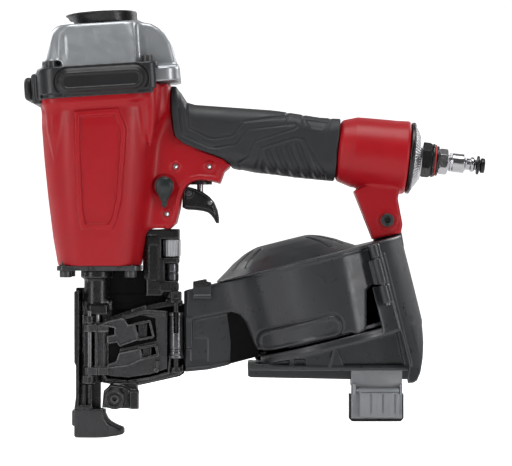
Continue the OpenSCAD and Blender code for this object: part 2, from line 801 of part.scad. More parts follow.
module feed_door() {
    color([0.5, 0.51, 0.53]) difference() {
        union() {
            side(-9, -5) polygon([[-2, 42], [9, 44], [40, 50], [45, 41.5], [45, 80], [30, 81],
                [3, 73], [3, 71.5], [-2, 70]]);
            // Two gripping fingers
            side(-12, -9) polygon([[3, 71.5], [16, 75.5], [20, 71], [34, 73.5], [36.5, 63.5],
                [26, 61.5], [15, 57.5], [13, 60], [8, 59]]);
            side(-12, -9) polygon([[14, 53.5], [38, 58.5], [39.5, 52], [29, 49.5], [12, 47]]);
            for (z = [[39.5, 45], [66, 71.3]]) door_knuckle(3.2, z[0], z[1]);
            for (z = [[39.5, 45], [66, 71.3]])
                translate([-4, -11.5, z[0]]) cube([8, 5, z[1] - z[0]]);
        }
        door_knuckle(1.5 + run_fit, 30, 90);
        side(-13, -4) polygon([[26, 65], [34, 66.5], [32.5, 71.5], [24.5, 70]]);
    }
}

module door_latch() {
    color([0.2, 0.2, 0.22]) translate([latch_axis[0], latch_axis[1], 50]) difference() {
        union() {
            cylinder(r = 4.2, h = 29);
            cylinder(r = 4.8, h = 2);
        }
        translate([0, 0, -1]) cylinder(r = 1.8 + run_fit, h = 40);
        translate([-1.2, -6, 17]) cube([2.4, 5, 20]);
    }
}

module feed_piston() {
    color("silver") {
        translate([27, feed_axis[0], feed_axis[1]]) rotate([0, 90, 0]) cylinder(r = 7 - run_fit, h = 5);
        translate([11, feed_axis[0], feed_axis[1]]) rotate([0, 90, 0]) cylinder(r = 2.5, h = 17);
        translate([7, -2.5, 58]) cube([5, 22, 10]);
    }
}

module feed_spring() {
    color("silver") translate([32.2, feed_axis[0], feed_axis[1]]) rotate([0, 90, 0]) coil(5, 0.6, 3, 16.6);
}

body_housing();
handle_grip();
cylinder_sleeve();
sleeve_seals();
piston_bumper();
cap_gasket();
top_cap();
cap_bolts();
deflector_bolt();
guard_band();
side_pads();
front_pad();
nose_plate();
nose_bolts();
nose_housing();
feed_cylinder();
door_hinge_pin();
latch_post();
guide_bracket();
trigger_valve_body();
trigger_pin();
roll_pins();
leg_screw();
leg_nut();
end_cap();
end_cap_ring();
inlet_filter();
reducer_bushing();
sealing_washer();
air_plug();
magazine_housing();
magazine_roof();
magazine_base();
magazine_hinge_pin();
exhaust_deflector();
head_valve();
head_valve_spring();
piston();
piston_ring();
driver_blade();
trigger();
trigger_lever();
valve_stem();
valve_spring();
mode_selector();
contact_foot();
contact_arm();
contact_spring();
depth_wheel();
feed_door();
door_latch();
feed_piston();
feed_spring();
magazine_cover();
cover_latch();
nail_tray();
shingle_guide();
guide_shoe();
guide_lever();
dust_cap();
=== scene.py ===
import json
import math

import bmesh
import bpy
import numpy as np
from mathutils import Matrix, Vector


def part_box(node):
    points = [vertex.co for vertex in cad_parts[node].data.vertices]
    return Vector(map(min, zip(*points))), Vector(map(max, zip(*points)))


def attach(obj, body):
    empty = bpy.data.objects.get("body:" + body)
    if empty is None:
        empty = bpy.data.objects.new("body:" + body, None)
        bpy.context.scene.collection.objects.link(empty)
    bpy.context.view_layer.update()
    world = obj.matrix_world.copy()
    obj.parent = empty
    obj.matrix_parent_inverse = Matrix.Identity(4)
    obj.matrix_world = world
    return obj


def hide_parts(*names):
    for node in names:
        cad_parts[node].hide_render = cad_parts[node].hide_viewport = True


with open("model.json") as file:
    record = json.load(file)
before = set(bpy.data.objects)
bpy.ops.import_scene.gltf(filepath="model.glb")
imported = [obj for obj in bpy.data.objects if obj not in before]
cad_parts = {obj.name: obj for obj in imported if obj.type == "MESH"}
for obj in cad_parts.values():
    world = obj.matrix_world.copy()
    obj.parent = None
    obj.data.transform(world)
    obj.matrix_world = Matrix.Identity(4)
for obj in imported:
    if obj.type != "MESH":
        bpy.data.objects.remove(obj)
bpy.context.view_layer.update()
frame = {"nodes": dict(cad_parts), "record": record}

import openvdb
from mathutils import Vector

BODY_OF = {n: b for b, nodes in frame["record"]["behaviour"]["bodies"].items() for n in nodes}
SLOT_OF = {p["node"]: p["material_slot"] for p in frame["record"]["subparts"]}
MATERIALS = {}
MADE = set()  # the CAD nodes that have a shaped piece
MM = 0.001

# ------------------------------------------- planes and axes of the tool, in mm


class Plane:
    """A local frame tilted about Y: u runs to the rear, h runs up, both in millimetres."""

    def __init__(self, origin, degrees):
        self.x0, self.z0 = origin
        self.cos, self.sin = math.cos(math.radians(degrees)), math.sin(math.radians(degrees))

    def local(self, x, z):
        u = (x - self.x0) * self.cos + (z - self.z0) * self.sin
        h = (z - self.z0) * self.cos - (x - self.x0) * self.sin
        return u, h

    def world(self, u, h):
        return (self.x0 + u * self.cos - h * self.sin, self.z0 + u * self.sin + h * self.cos)


def low(node):
    return [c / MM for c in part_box(node)[0]]


def high(node):
    return [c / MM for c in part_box(node)[1]]


HEAD = Plane((0, 219), 3.5)
CANISTER = Plane((154, 62), 14)
CANISTER_Y = 6  # the canister's axis lies this far to the tool's right
INLET = Plane((175, 178), -6)

# Axes shared by several pieces, as two coordinates across each axis
DOOR_HINGE = (-4, -8.5)
LATCH_POST = (50.2, -9.6)
DEPTH_ROD = (47.2, 0)
VALVE = (65, 0)
LEG_SCREW = (182.3, 136.5)
KNOB = (43, 158)
TRIGGER_VALVE_PIN = (58, 153.5)
FEED = (17, 63)
GUIDE_PIN = (-7.05, 30)
BOSS = (12, 24.8)
COVER_HINGE = (32, -49.5)

# ------------------------------------------------------------- shaping kit


class Clay:
    """A block of space, in millimetres, in which a casting is shaped."""

    def __init__(self, lowest, highest, step):
        self.low, self.step = np.array(lowest, float), step
        count = np.ceil((np.array(highest) - self.low) / step).astype(int) + 1
        axes = [(self.low[i] + step * np.arange(count[i])).astype(np.float32) for i in range(3)]
        self.x, self.y, self.z = axes[0][:, None, None], axes[1][None, :, None], axes[2][None, None, :]
        self.views = {"x": (self.y, self.z, self.x), "y": (self.x, self.z, self.y), "z": (self.x, self.y, self.z)}

    def block(self, axis, p0, p1, q0, q1, r, *span):
        """A round-cornered block across an axis; span is its start, end and edge along the axis."""
        p, q, along = self.views[axis]
        return slab(rect(p, q, p0, p1, q0, q1, r), along, *span)

    def plate(self, axis, points, *span):
        p, q, along = self.views[axis]
        return slab(outline(p, q, points), along, *span)

    def rod(self, axis, centre, r, *span):
        p, q, along = self.views[axis]
        return slab(disc(p, q, centre, r), along, *span)


def outline(p, q, points):
    """Signed distance from (p, q) to a closed outline, negative inside."""
    p, q = np.broadcast_arrays(p, q)
    best = np.full(p.shape, 1e9, np.float32)
    inside = np.zeros(p.shape, bool)
    for (ax, ay), (bx, by) in zip(points, points[1:] + points[:1]):
        ex, ey = bx - ax, by - ay
        t = np.clip(((p - ax) * ex + (q - ay) * ey) / (ex * ex + ey * ey + 1e-9), 0, 1)
        best = np.minimum(best, (p - ax - t * ex) ** 2 + (q - ay - t * ey) ** 2)
        if by != ay:
            inside ^= ((ay > q) != (by > q)) & (p < ex * (q - ay) / ey + ax)
    return np.where(inside, -1, 1) * np.sqrt(best)


def line(p, q, points):
    """Distance from (p, q) to an open line."""
    best = 1e9
    for (ax, ay), (bx, by) in zip(points, points[1:]):
        ex, ey = bx - ax, by - ay
        t = np.clip(((p - ax) * ex + (q - ay) * ey) / (ex * ex + ey * ey + 1e-9), 0, 1)
        best = np.minimum(best, (p - ax - t * ex) ** 2 + (q - ay - t * ey) ** 2)
    return np.sqrt(best)


def rounded(a, b, r):
    """Two distances met in a round corner."""
    return np.minimum(np.maximum(a, b), 0) + np.hypot(np.maximum(a, 0), np.maximum(b, 0)) - r


def rect(p, q, p0, p1, q0, q1, r=1.0):
    """Signed distance to a rectangle with round corners."""
    a = np.abs(p - (p0 + p1) / 2) - (p1 - p0) / 2 + r
    b = np.abs(q - (q0 + q1) / 2) - (q1 - q0) / 2 + r
    return rounded(a, b, r)


def disc(p, q, centre, r):
    return np.hypot(p - centre[0], q - centre[1]) - r


def slab(flat, along, start, end, edge=0.6):
    """A flat shape made into a plate from start to end, with round edges."""
    side = np.abs(along - (start + end) / 2) - (end - start) / 2
    return rounded(flat + edge, side + edge, edge)


def join(a, b, k=1.0):
    """Union with a fillet about k wide."""
    h = np.maximum(k - np.abs(a - b), 0) / k
    return np.minimum(a, b) - h * h * k / 4


def cut(a, b, k=0.6):
    """a without b, with the edge rounded."""
    return -join(-a, b, k)


def both(a, b, k=0.6):
    return -join(-a, -b, k)


def smooth_step(v, start, end):
    t = np.clip((v - start) / (end - start), 0, 1)
    return t * t * (3 - 2 * t)


def ridge(v, width):
    """1 where v is nought, fading to either side."""
    return np.exp(-((v / width) ** 2))


def sample(field, clay, points):
    """The field's value at points, in millimetres."""
    g = (points - clay.low) / clay.step
    i = np.clip(np.floor(g).astype(int), 0, np.array(field.shape) - 2)
    f = (g - i).astype(np.float32)
    total = 0
    for dx in (0, 1):
        for dy in (0, 1):
            for dz in (0, 1):
                w = (f[:, 0] if dx else 1 - f[:, 0]) * (f[:, 1] if dy else 1 - f[:, 1])
                w = w * (f[:, 2] if dz else 1 - f[:, 2])
                total = total + w * field[i[:, 0] + dx, i[:, 1] + dy, i[:, 2] + dz]
    return total


def slope(field, clay, points):
    axes = np.eye(3) * clay.step * 0.6
    g = np.stack([sample(field, clay, points + a) - sample(field, clay, points - a) for a in axes], 1)
    return g / (np.linalg.norm(g, axis=1, keepdims=True) + 1e-9)


def put(name, data):
    obj = bpy.data.objects.new(name, data)
    bpy.context.collection.objects.link(obj)
    return obj


def add_mesh(name, points, faces, material, normals=None):
    mesh = bpy.data.meshes.new(name)
    mesh.from_pydata([tuple(p) for p in points], [], [tuple(f) for f in faces])
    mesh.polygons.foreach_set("use_smooth", [True] * len(mesh.polygons))
    if normals is not None:
        mesh.normals_split_custom_set_from_vertices([tuple(n) for n in normals])
    mesh.materials.append(material)
    return put(name, mesh)


def place(obj, body, nodes):
    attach(obj, body)
    if nodes:
        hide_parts(*nodes)
        MADE.update(nodes)


EVENING_ROUNDS, EVENING = 3, 0.5
SETTLING, LONGEST_STEP = 0.9, 0.4


def casting(name, clay, field, look, *nodes, body=None, slot=None):
    """The surface of a shaped block as a mesh of quads, settled on the exact surface.

    The piece takes its body from the first node it replaces, unless a body is given; the slot argument is not used.
    """
    field = np.array(np.broadcast_to(field, (clay.x.size, clay.y.size, clay.z.size)), np.float32)
    grid = openvdb.FloatGrid(10.0)
    grid.copyFromArray(field)
    points, faces = grid.convertToQuads(0.0)
    points = points * clay.step + clay.low
    # Even out the quads, then settle their corners on the exact surface
    one, other = faces.ravel(), np.roll(faces, -1, axis=1).ravel()
    size = len(points)
    links = (np.bincount(one, minlength=size) + np.bincount(other, minlength=size))[:, None]
    for _ in range(EVENING_ROUNDS):
        near = np.stack([np.bincount(one, points[other, i], size) + np.bincount(other, points[one, i], size)
                         for i in range(3)], 1) / links
        points = points + EVENING * (near - points)
        n = slope(field, clay, points)
        off = np.clip(sample(field, clay, points), -LONGEST_STEP, LONGEST_STEP)[:, None]
        points = points - n * off * SETTLING
    normals = slope(field, clay, points)
    obj = add_mesh(name, points * MM, faces, MATERIALS[look], normals)
    place(obj, body or BODY_OF[nodes[0]], nodes)


# --------------------------------------------------------------- materials


def fill(tree, node, **values):
    """Set a node's inputs by name: an output of another node is linked, anything else is a value."""
    for key, value in values.items():
        socket = node.inputs[key.replace("_", " ")]
        if isinstance(value, bpy.types.NodeSocket):
            tree.links.new(value, socket)
        else:
            socket.default_value = value


def add_node(tree, kind, setting=None, **values):
    node = tree.nodes.new(kind)
    if setting:
        setattr(node, *setting)
    fill(tree, node, **values)
    return node


ROUGH_SPREAD = 0.12


def surface(name, colour, rough, metallic=0.0, grain=2200, bump=0.12, mottle=0.12, wear_and_highlight=0.0,
            wear_and_highlight_colour=(0.5, 0.5, 0.5), coat=0.0, stretch=(1, 1, 1), specular=0.5, shade_gaps=0.25):
    """A material with fine grain, soft colour variation, uneven gloss, painted shade in crevices and edges lightened
    partly by wear and partly as painted highlight.
    """
    MATERIALS[name] = bpy.data.materials.new(name)
    MATERIALS[name].use_nodes = True
    tree = MATERIALS[name].node_tree
    where = add_node(tree, "ShaderNodeTexCoord").outputs["Object"]
    along = add_node(tree, "ShaderNodeMapping", Scale=stretch, Vector=where).outputs["Vector"]
    fine = add_node(tree, "ShaderNodeTexNoise", Scale=grain, Detail=3.0, Roughness=0.55, Vector=along)
    broad = add_node(tree, "ShaderNodeTexNoise", Scale=38.0, Detail=4.0, Roughness=0.6, Vector=where)
    smudge = add_node(tree, "ShaderNodeTexNoise", Scale=160.0, Detail=5.0, Roughness=0.65, Vector=along)
    fine, broad, smudge = (noise.outputs["Fac"] for noise in (fine, broad, smudge))

    def ramp(value, start, end, low_end, high_end):
        return add_node(tree, "ShaderNodeMapRange", Value=value, From_Min=start, From_Max=end,
                        To_Min=low_end, To_Max=high_end).outputs["Result"]

    tint = add_node(tree, "ShaderNodeVectorMath", ("operation", "SCALE"),
                    Scale=ramp(broad, 0.3, 0.7, 1 - mottle, 1 + mottle))
    tint.inputs[0].default_value = colour
    last = tint.outputs["Vector"]
    if wear_and_highlight:
        # Painted shade: crevices are darkened as if shaded, and a lighter colour, partly wear and partly painted
        # highlight, shows in patches on the edges
        pointed = add_node(tree, "ShaderNodeNewGeometry").outputs["Pointiness"]
        painted_gap_shade = add_node(tree, "ShaderNodeVectorMath", ("operation", "SCALE"),
                         Scale=ramp(pointed, 0.38, 0.475, shade_gaps, 1.0))
        tree.links.new(last, painted_gap_shade.inputs[0])
        # Partly wear, partly painted highlight: convex edges take the lighter colour in patches
        amount = add_node(tree, "ShaderNodeMath", ("operation", "MULTIPLY"))
        tree.links.new(ramp(pointed, 0.515, 0.575, 0.0, 1.0), amount.inputs[0])
        tree.links.new(ramp(smudge, 0.42, 0.60, wear_and_highlight * 0.45, wear_and_highlight), amount.inputs[1])
        last = add_node(tree, "ShaderNodeMix", ("data_type", "RGBA"), Factor=amount.outputs["Value"],
                        A=painted_gap_shade.outputs["Vector"], B=(*wear_and_highlight_colour, 1)).outputs["Result"]
    relief = add_node(tree, "ShaderNodeBump", Strength=bump, Distance=0.0002, Height=fine)
    fill(tree, tree.nodes["Principled BSDF"], Metallic=metallic, Coat_Weight=coat, Coat_Roughness=0.12,
         Specular_IOR_Level=specular, Base_Color=last, Normal=relief.outputs["Normal"],
         Roughness=ramp(smudge, 0.3, 0.7, rough - ROUGH_SPREAD / 2, rough + ROUGH_SPREAD / 2))


surface("red_paint", (0.40, 0.006, 0.012), 0.38, grain=1500, bump=0.14, mottle=0.05, coat=0.06, wear_and_highlight=0.3,
    wear_and_highlight_colour=(0.55, 0.06, 0.07), specular=0.3)
# Painted shade: a near-black, barely glossy copy of the black plastic, for places that should read as deep shade
surface("painted_shade_black", (0.0025, 0.0025, 0.003), 0.55, grain=2400, bump=0.2, specular=0.12)
surface("dark_steel", (0.13, 0.13, 0.14), 0.25, 0.9, grain=1200, bump=0.08, wear_and_highlight=0.2,
    wear_and_highlight_colour=(0.55, 0.55, 0.56), stretch=(1, 1, 0.15))
surface("grip_rubber", (0.019, 0.0205, 0.023), 0.50, grain=3200, bump=0.35, mottle=0.10, wear_and_highlight=0.2,
    wear_and_highlight_colour=(0.10, 0.10, 0.105))
surface("black_rubber", (0.0095, 0.0098, 0.011), 0.42, grain=3000, bump=0.25)
surface("steel", (0.40, 0.40, 0.41), 0.30, 1.0, grain=900, bump=0.10, stretch=(1, 1, 0.15))
surface("black_steel", (0.0075, 0.0075, 0.0085), 0.28, 0.0, grain=1800, bump=0.12, wear_and_highlight=0.4,
    wear_and_highlight_colour=(0.25, 0.25, 0.26))
surface("cast_aluminium", (0.42, 0.44, 0.46), 0.34, 0.65, grain=2400, bump=0.22, mottle=0.05, wear_and_highlight=0.3,
    wear_and_highlight_colour=(0.8, 0.8, 0.82))
surface("guard_grey", (0.017, 0.018, 0.0205), 0.34, grain=2400, bump=0.20, wear_and_highlight=0.3, wear_and_highlight_colour=(0.14, 0.14, 0.15))
surface("nose_steel", (0.0075, 0.0078, 0.0088), 0.27, 0.0, grain=1600, bump=0.18, wear_and_highlight=0.6,
    wear_and_highlight_colour=(0.30, 0.30, 0.31))
surface("door_steel", (0.048, 0.049, 0.052), 0.27, 0.3, grain=1800, bump=0.2, wear_and_highlight=0.6,
    wear_and_highlight_colour=(0.36, 0.36, 0.37))
surface("black_plastic", (0.0065, 0.0065, 0.0075), 0.28, grain=2600, bump=0.15, wear_and_highlight=0.2,
    wear_and_highlight_colour=(0.08, 0.08, 0.08))
surface("seal_red", (0.50, 0.02, 0.02), 0.45, grain=2600, bump=0.1)
surface("chrome_plate", (0.50, 0.50, 0.52), 0.17, 1.0, grain=700, bump=0.03, mottle=0.03)
surface("magazine_grey", (0.028, 0.030, 0.0335), 0.31, grain=1500, bump=0.14, wear_and_highlight=0.3, mottle=0.10,
    wear_and_highlight_colour=(0.13, 0.13, 0.14), shade_gaps=1.0)
surface("valve_plastic", (0.65, 0.60, 0.45), 0.45)
surface("knob_plastic", (0.016, 0.021, 0.0215), 0.30, grain=2600, bump=0.15, wear_and_highlight=0.3,
    wear_and_highlight_colour=(0.12, 0.13, 0.13))
surface("wheel_grey", (0.46, 0.47, 0.49), 0.36, 0.6, grain=2000, bump=0.15)
surface("tray_plastic", (0.10, 0.10, 0.11), 0.5)
surface("guide_grey", (0.30, 0.315, 0.33), 0.46, grain=2600, bump=0.2, wear_and_highlight=0.3, wear_and_highlight_colour=(0.5, 0.5, 0.52))
# -------------------------------------------------------------- the casting

BOLTS = [(-26, 27), (-26, -27), (34, 27), (34, -27)]
BADGE_OUTER = [(-12, 203.5), (15, 205.5), (20, 193), (19, 175), (17, 150), (14, 136.5), (11, 130.5), (-8, 130.5),
    (-10, 140), (-11.5, 175)]
BADGE_INNER = [(-8.6, 200.3), (13, 201.8), (16.8, 192), (15.8, 175), (14, 151), (11.2, 138), (9, 134), (-5.4, 134),
    (-7, 142), (-8.3, 175)]
WEB = [(10, 131.5), (46, 131.5), (50, 135), (52, 143), (53, 150), (55, 156), (57, 158.5), (60, 161), (65, 162),
    (72, 161.5), (77.5, 160), (80, 167), (84, 170.5), (90, 176), (90, 200), (60, 206), (52, 216), (47, 219),
    (10, 219)]
LEG = [(161, 166), (161, 156), (173.5, 124.5), (191, 128.5), (192, 134), (189, 150), (192, 166)]
GRIP_EDGE = [(46.5, 219.5), (47, 205), (48.5, 192), (50, 188), (55, 184), (65, 180), (75, 176.5), (80, 174.5),
    (84, 170.5)]
GRIP_TOP = [(40, 221), (50, 220), (53.5, 216), (57, 210.5), (62, 209), (110, 205.5), (118, 204.5), (140, 201),
    (150.5, 200.3)]
GRIP_BOTTOM = [(40, 170), (84, 170), (88, 169), (100, 166.5), (110, 165.5), (125, 163.5), (140, 162), (150.5, 161)]


def across(points, v):
    return np.interp(v, [p[0] for p in points], [p[1] for p in points]).astype(np.float32)


def badge_relief(x, z):
    """A plain raised frame with a slightly sunk panel inside it."""
    outer, inner = outline(x, z, BADGE_OUTER), outline(x, z, BADGE_INNER)
    frame_edge = smooth_step(-np.maximum(outer, -inner), -0.5, 0.5)
    panel = smooth_step(-inner, -0.4, 0.4)
    return 1.2 * frame_edge - 0.5 * panel


def grip_bar(c, inset=0.0):
    """The handle's round-cornered bar, from the head to the rear boss."""
    top, bottom = across(GRIP_TOP, c.x), across(GRIP_BOTTOM, c.x)
    middle, half = (top + bottom) / 2, (top - bottom) / 2 - inset
    width = 16.4 + 1.6 * ridge(c.x - 112, 30) - inset
    r = 11.0
    a, b = np.abs(c.y) - width + r, np.abs(c.z - middle) - half + r
    return rounded(a, b, r)


def grip_side(c):
    """Negative on the rubber's side of its curved front edge."""
    return outline(c.x, c.z, GRIP_EDGE + [(100, 140), (170, 140), (170, 240), (46.5, 240)])


def red_housing():
    c = Clay((-37, -36, 106), (202, 36, 224), 0.6)
    u, h = HEAD.local(c.x, c.z)
    r = across([(108, 26), (125, 28.9), (150, 32), (175, 34.5), (195, 36), (219, 36)], c.z)
    corner = r * 0.70
    a, b = np.abs(c.x - 2) - r + corner, np.abs(c.y) - r * 0.93 + corner
    barrel = rounded(a, b, corner)
    barrel = barrel - badge_relief(c.x, c.z)
    barrel = both(barrel, 108 - c.z, 1.5)
    flange = slab(rect(u, c.y, -33, 35.5, -34, 34, 12), h, -9, 3)
    body = join(barrel, flange, 6)
    for x, y in BOLTS:
        width = across([(172, -3), (190, 2.6), (206, 4.6), (222, 4.8)], c.z)
        column = both(np.hypot(c.x - x - 0.5, c.y - y * 0.97) - width, 172 - c.z, 1)
        body = join(body, column, 5)
    web = c.plate("y", WEB, -13, 13, 2.5)
    rear = c.plate("y", [(10, 176), (28, 180), (35, 190.5), (44.5, 203.5), (45.5, 208), (45.2, 222), (10, 220)],
        -22, 22, 4)
    body = join(body, join(web, rear, 7), 6)
    # Thickened edge along the trigger opening
    rim = slab(line(c.x, c.z, WEB[1:13]) - 2.6, c.y, -14.2, 14.2, 1.2)
    body = join(body, both(rim, outline(c.x, c.z, WEB), 0.8), 2)
    body = both(body, h, 0.8)
    # The rubber lies on a seat that is cut into the casting
    body = cut(body, both(grip_bar(c) - 1.5, grip_side(c), 0.3), 0.4)
    body = join(body, both(both(grip_bar(c, 3.4), 50 - c.x, 0.3), c.x - 156, 0.3), 0.5)
    iu, ih = INLET.local(c.x, c.z)
    around = np.hypot(ih, c.y)
    boss_r = across([(-24, 18.8), (-13, 22.2), (0, 22.5), (12, 22.6), (20, 23.1)], iu)
    boss = slab(around - boss_r, iu, -23.3, 21, 2.2)
    leg = c.plate("y", LEG, -12.4, 12.4, 1.8)
    leg = both(leg, c.z - 159 + 0.02 * (c.x - 176) ** 2, 1.2)
    boss = join(boss, leg, 2.2)
    collar = c.rod("y", LEG_SCREW, 6.4, -12.6, 12.6, 0.8)
    boss = join(boss, collar, 1.5)
    body = join(body, boss, 1.0)
    for at in ((50, 170), (44.5, 140.3), (71, 170)):
        body = join(body, c.rod("y", at, 3.2, -13.8, 13.8, 0.6), 1.2)
        body = cut(body, disc(c.x, c.z, at, 1.7), 0.3)
    body = cut(body, slab(disc(c.x, c.z, KNOB, 7.4), np.abs(c.y), 12.4, 30), 0.8)
    body = cut(body, c.rod("z", VALVE, 7.4, 150, 166), 0.5)
    body = cut(body, c.block("y", 168, 196, 110, 146, 1, -4, 4), 0.5)
    body = cut(body, disc(c.x, c.z, LEG_SCREW, 2.55), 0.3)
    body = cut(body, c.rod("z", DEPTH_ROD, 3.7, 120, 150), 0.3)
    body = cut(body, slab(around - 17, iu, -6, 30), 0.5)
    body = cut(body, c.rod("z", (0, 0), 22, 100, 190), 0.3)
    body = cut(body, c.rod("z", (0, 0), 30, 200, 230), 0.3)
    casting("red_housing", c, body, "red_paint", "body_housing")


def rubber_grip():
    c = Clay((44, -20, 158), (153, 20, 222), 0.5)
    bar = grip_bar(c)
    side = smooth_step(np.abs(c.y), 6, 10)
    lines = [[(56.8, 208.6), (58.3, 194.1), (71.3, 188), (75, 187.6), (84.3, 189), (86.5, 190.5), (92, 198),
        (118.3, 201.3), (120.5, 203.5)], [(52, 205.7), (54, 189.8), (70, 182.6), (73.5, 181.8), (86.5, 183.6),
        (88.7, 185.4), (95.2, 193.4), (124.8, 196.6), (126, 194.8), (124.8, 193.8), (99.5, 185.8), (95.2, 175.3),
        (90, 172.4)], [(98.5, 164), (101.7, 174.6), (103, 181.5), (124.8, 188), (130.6, 187), (143, 165.2),
        (143, 160)],]
    groove = 0
    for points in lines:
        groove = np.maximum(groove, ridge(line(c.x, c.z, points), 0.75))
    bar = bar + 0.95 * groove * side
    # Ribs inside the lower panel
    panel = outline(c.x, c.z, [(101, 160), (103.5, 174), (105, 180), (124.5, 185.8), (129.5, 185), (141.5, 164),
        (142, 160)])
    inside = smooth_step(-panel, -0.2, 1.4)
    slant = (c.x - 104) * 0.94 - (180 - c.z) * 0.34 - 0.004 * (180 - c.z) ** 2
    wave = np.abs(((slant / 6.4) % 1.0) - 0.5) * 2
    rib = smooth_step(wave, 0.25, 0.7)
    bar = bar + inside * side * (1.0 - 1.25 * rib)
    # Sunk panel near the boss and the top's short notches
    top = outline(c.x, c.z, [(130.2, 199.4), (134.2, 194), (141.4, 192.7), (146.5, 197.5)])
    bar = bar + 0.7 * smooth_step(-top, -0.3, 0.8) * side
    for x in (120, 130, 147):
        bar = bar + 0.5 * ridge(c.x - x, 0.8) * smooth_step(c.z, 190, 198)
    # A trim strip along the casting's edge
    edge = grip_side(c)
    bar = bar - 0.45 * smooth_step(-edge, 0.0, 0.6) * (1 - smooth_step(-edge, 4.4, 5.2))
    body = both(bar, edge + 0.25, 1.0)
    body = both(body, INLET.local(c.x, c.z)[0] + 23.8, 1.0)
    h = HEAD.local(c.x, c.z)[1]
    body = both(body, np.maximum(h + 0.3, 46 - c.x), 0.6)
    casting("rubber_grip", c, body, "grip_rubber", "handle_grip")


def silver_cap():
    c = Clay((-37, -36, 214), (57, 36, 264), 0.5)
    u, h = HEAD.local(c.x, c.z)
    x0 = across([(0, -33.2), (13, -33.3), (30, -28.4), (36, -26.3), (40, -22.5)], h)
    x1 = across([(0, 35.5), (30, 34), (40, 30)], h)
    half = across([(0, 33), (13, 32.6), (40, 24.6)], h)
    r = 11.0
    a = np.abs(u - (x0 + x1) / 2) - (x1 - x0) / 2 + r
    b = np.abs(c.y) - half + r
    crown = rounded(a, b, r)
    crown = both(crown, np.maximum(h - 40.2, 1.0 - h), 2.4)
    tail = [(15, 0.6), (53, 0.6), (51.5, 12), (48.9, 25), (46, 30.5), (42.2, 34.6), (37.4, 37.8), (28, 40),
        (15, 40)]
    back = slab(outline(u, h, tail), c.y, -19.5, 19.5, 3.5)
    body = join(crown, back, 3)
    flange = slab(rect(u, c.y, 20, 52.6, -27, 27, 9), h, 0.8, 12.6, 1.4)
    body = join(body, both(flange, 8 - u, 0.3), 1.2)
    # Corner seats for the band's ears and the bolts
    for y in (-1, 1):
        seat = slab(rect(u, c.y * y, 27.2, 60, 19.8, 60, 3), h, 10, 60, 1.5)
        body = cut(body, seat, 1.6)
        seat = slab(rect(u, c.y * y, -60, -19.2, 20.2, 60, 3), h, 9, 17, 2)
        body = cut(body, seat, 1.6)
        # Soft flutes at the front corners
        flute = ridge(u + 22.5, 1.6) + ridge(u + 17, 1.6)
        body = body + 0.35 * flute * smooth_step(h, 14, 22) * smooth_step(-h, -36, -30)
    body = cut(body, slab(disc(u, c.y, (14, 0), 5), h, 30, 50), 0.4)
    body = both(body, 1.05 - h, 0.5)
    body = cut(body, slab(np.hypot(u, c.y) - 29, h, -5, 7), 0.4)
    casting("silver_cap", c, body, "cast_aluminium", "top_cap")


def head_guard():
    c = Clay((-42, -39.5, 206), (42, 39.5, 238), 0.5)
    u, h = HEAD.local(c.x, c.z)
    ring_out = np.where(u < 0, rect(u, c.y, -35.4, 40.6, -37, 37, 13), rect(u, c.y, -35.4, 40.6, -37, 37, 7))
    ring_in = rect(u, c.y, -33.0, 90, -34.3, 34.3, 12)
    band = slab(ring_out, h, -6, 13.4, 1.6)
    lip = rect(u, c.y, -33.0, 90, -20.3, 20.3, 3)
    inner = both(ring_in, h - 10, 0.2)
    ears_gap = slab(rect(u, c.y, -19.5, 27.4, -60, 60, 3), h, 5, 40, 0.5)
    band = cut(band, inner, 0.4)
    band = cut(band, both(ring_in, ears_gap, 0.4), 0.5)
    band = cut(band, slab(lip, h, -30, 60), 0.5)
    band = both(band, u - 40.4, 1.5)
    band = cut(band, slab(rect(u, c.y, 30, 90, -20.5, 20.5, 1), h, -30, 60), 0.8)
    bumper = slab(rect(u, c.y, -39.3, -33, -24, 24, 2), h, -8.2, 10.6, 1.8)
    bumper = cut(bumper, ring_in, 0.2)
    band = join(band, bumper, 2)
    seat = np.abs(rect(u, h, -23, 33.4, -4.8, 11.7, 8.1) - 0.5) - 0.6
    band = cut(band, slab(seat, np.abs(c.y), 35.9, 50, 0.1), 0.3)
    for x, y in BOLTS:
        band = join(band, both(slab(disc(u, c.y, (x, y), 6.2), h, 10.2, 13.4, 0.7), ring_out, 0.4), 0.8)
        band = cut(band, disc(u, c.y, (x, y), 2.8), 0.3)
        step = slab(rect(u, c.y, x - 7, x + 7, -60, 60, 1), h, -7, -3.5, 0.5)
        band = cut(band, both(step, -ring_out - 1.2, 0.2), 0.5)
    casting("head_guard", c, band, "guard_grey", "guard_band")


def rubber_pads():
    c = Clay((-32, -41.6, 206), (36, 41.6, 240), 0.5)
    u, h = HEAD.local(c.x, c.z)
    flat = rect(u, h, -23, 33.4, -4.8, 11.7, 8.1)
    rise = 3.0 * smooth_step(-flat, 0.2, 3.4) - 0.7 * smooth_step(-flat, 4.0, 4.8)
    body = slab(flat, np.abs(c.y), 36.0, 37.6, 0.8)
    top = slab(flat + 0.4, np.abs(c.y), 36.0, 37.4 + rise, 0.5)
    body = join(body, top, 0.8)
    casting("side_rubber_pads", c, body, "black_rubber", "side_pads")


def front_rubber_pad():
    c = Clay((-47, -24, 206), (-36, 24, 232), 0.5)
    u, h = HEAD.local(c.x, c.z)
    body = slab(rect(c.y, h, -21, 21, -5.6, 9, 5), u, -44.2, -38.6, 2.6)
    dish = slab(rect(c.y, h, -14, 14, -1, 4.4, 2.6), u, -48, -43.5, 0.8)
    body = cut(body, dish, 1.2)
    casting("front_rubber_pad", c, body, "black_rubber", "front_pad")


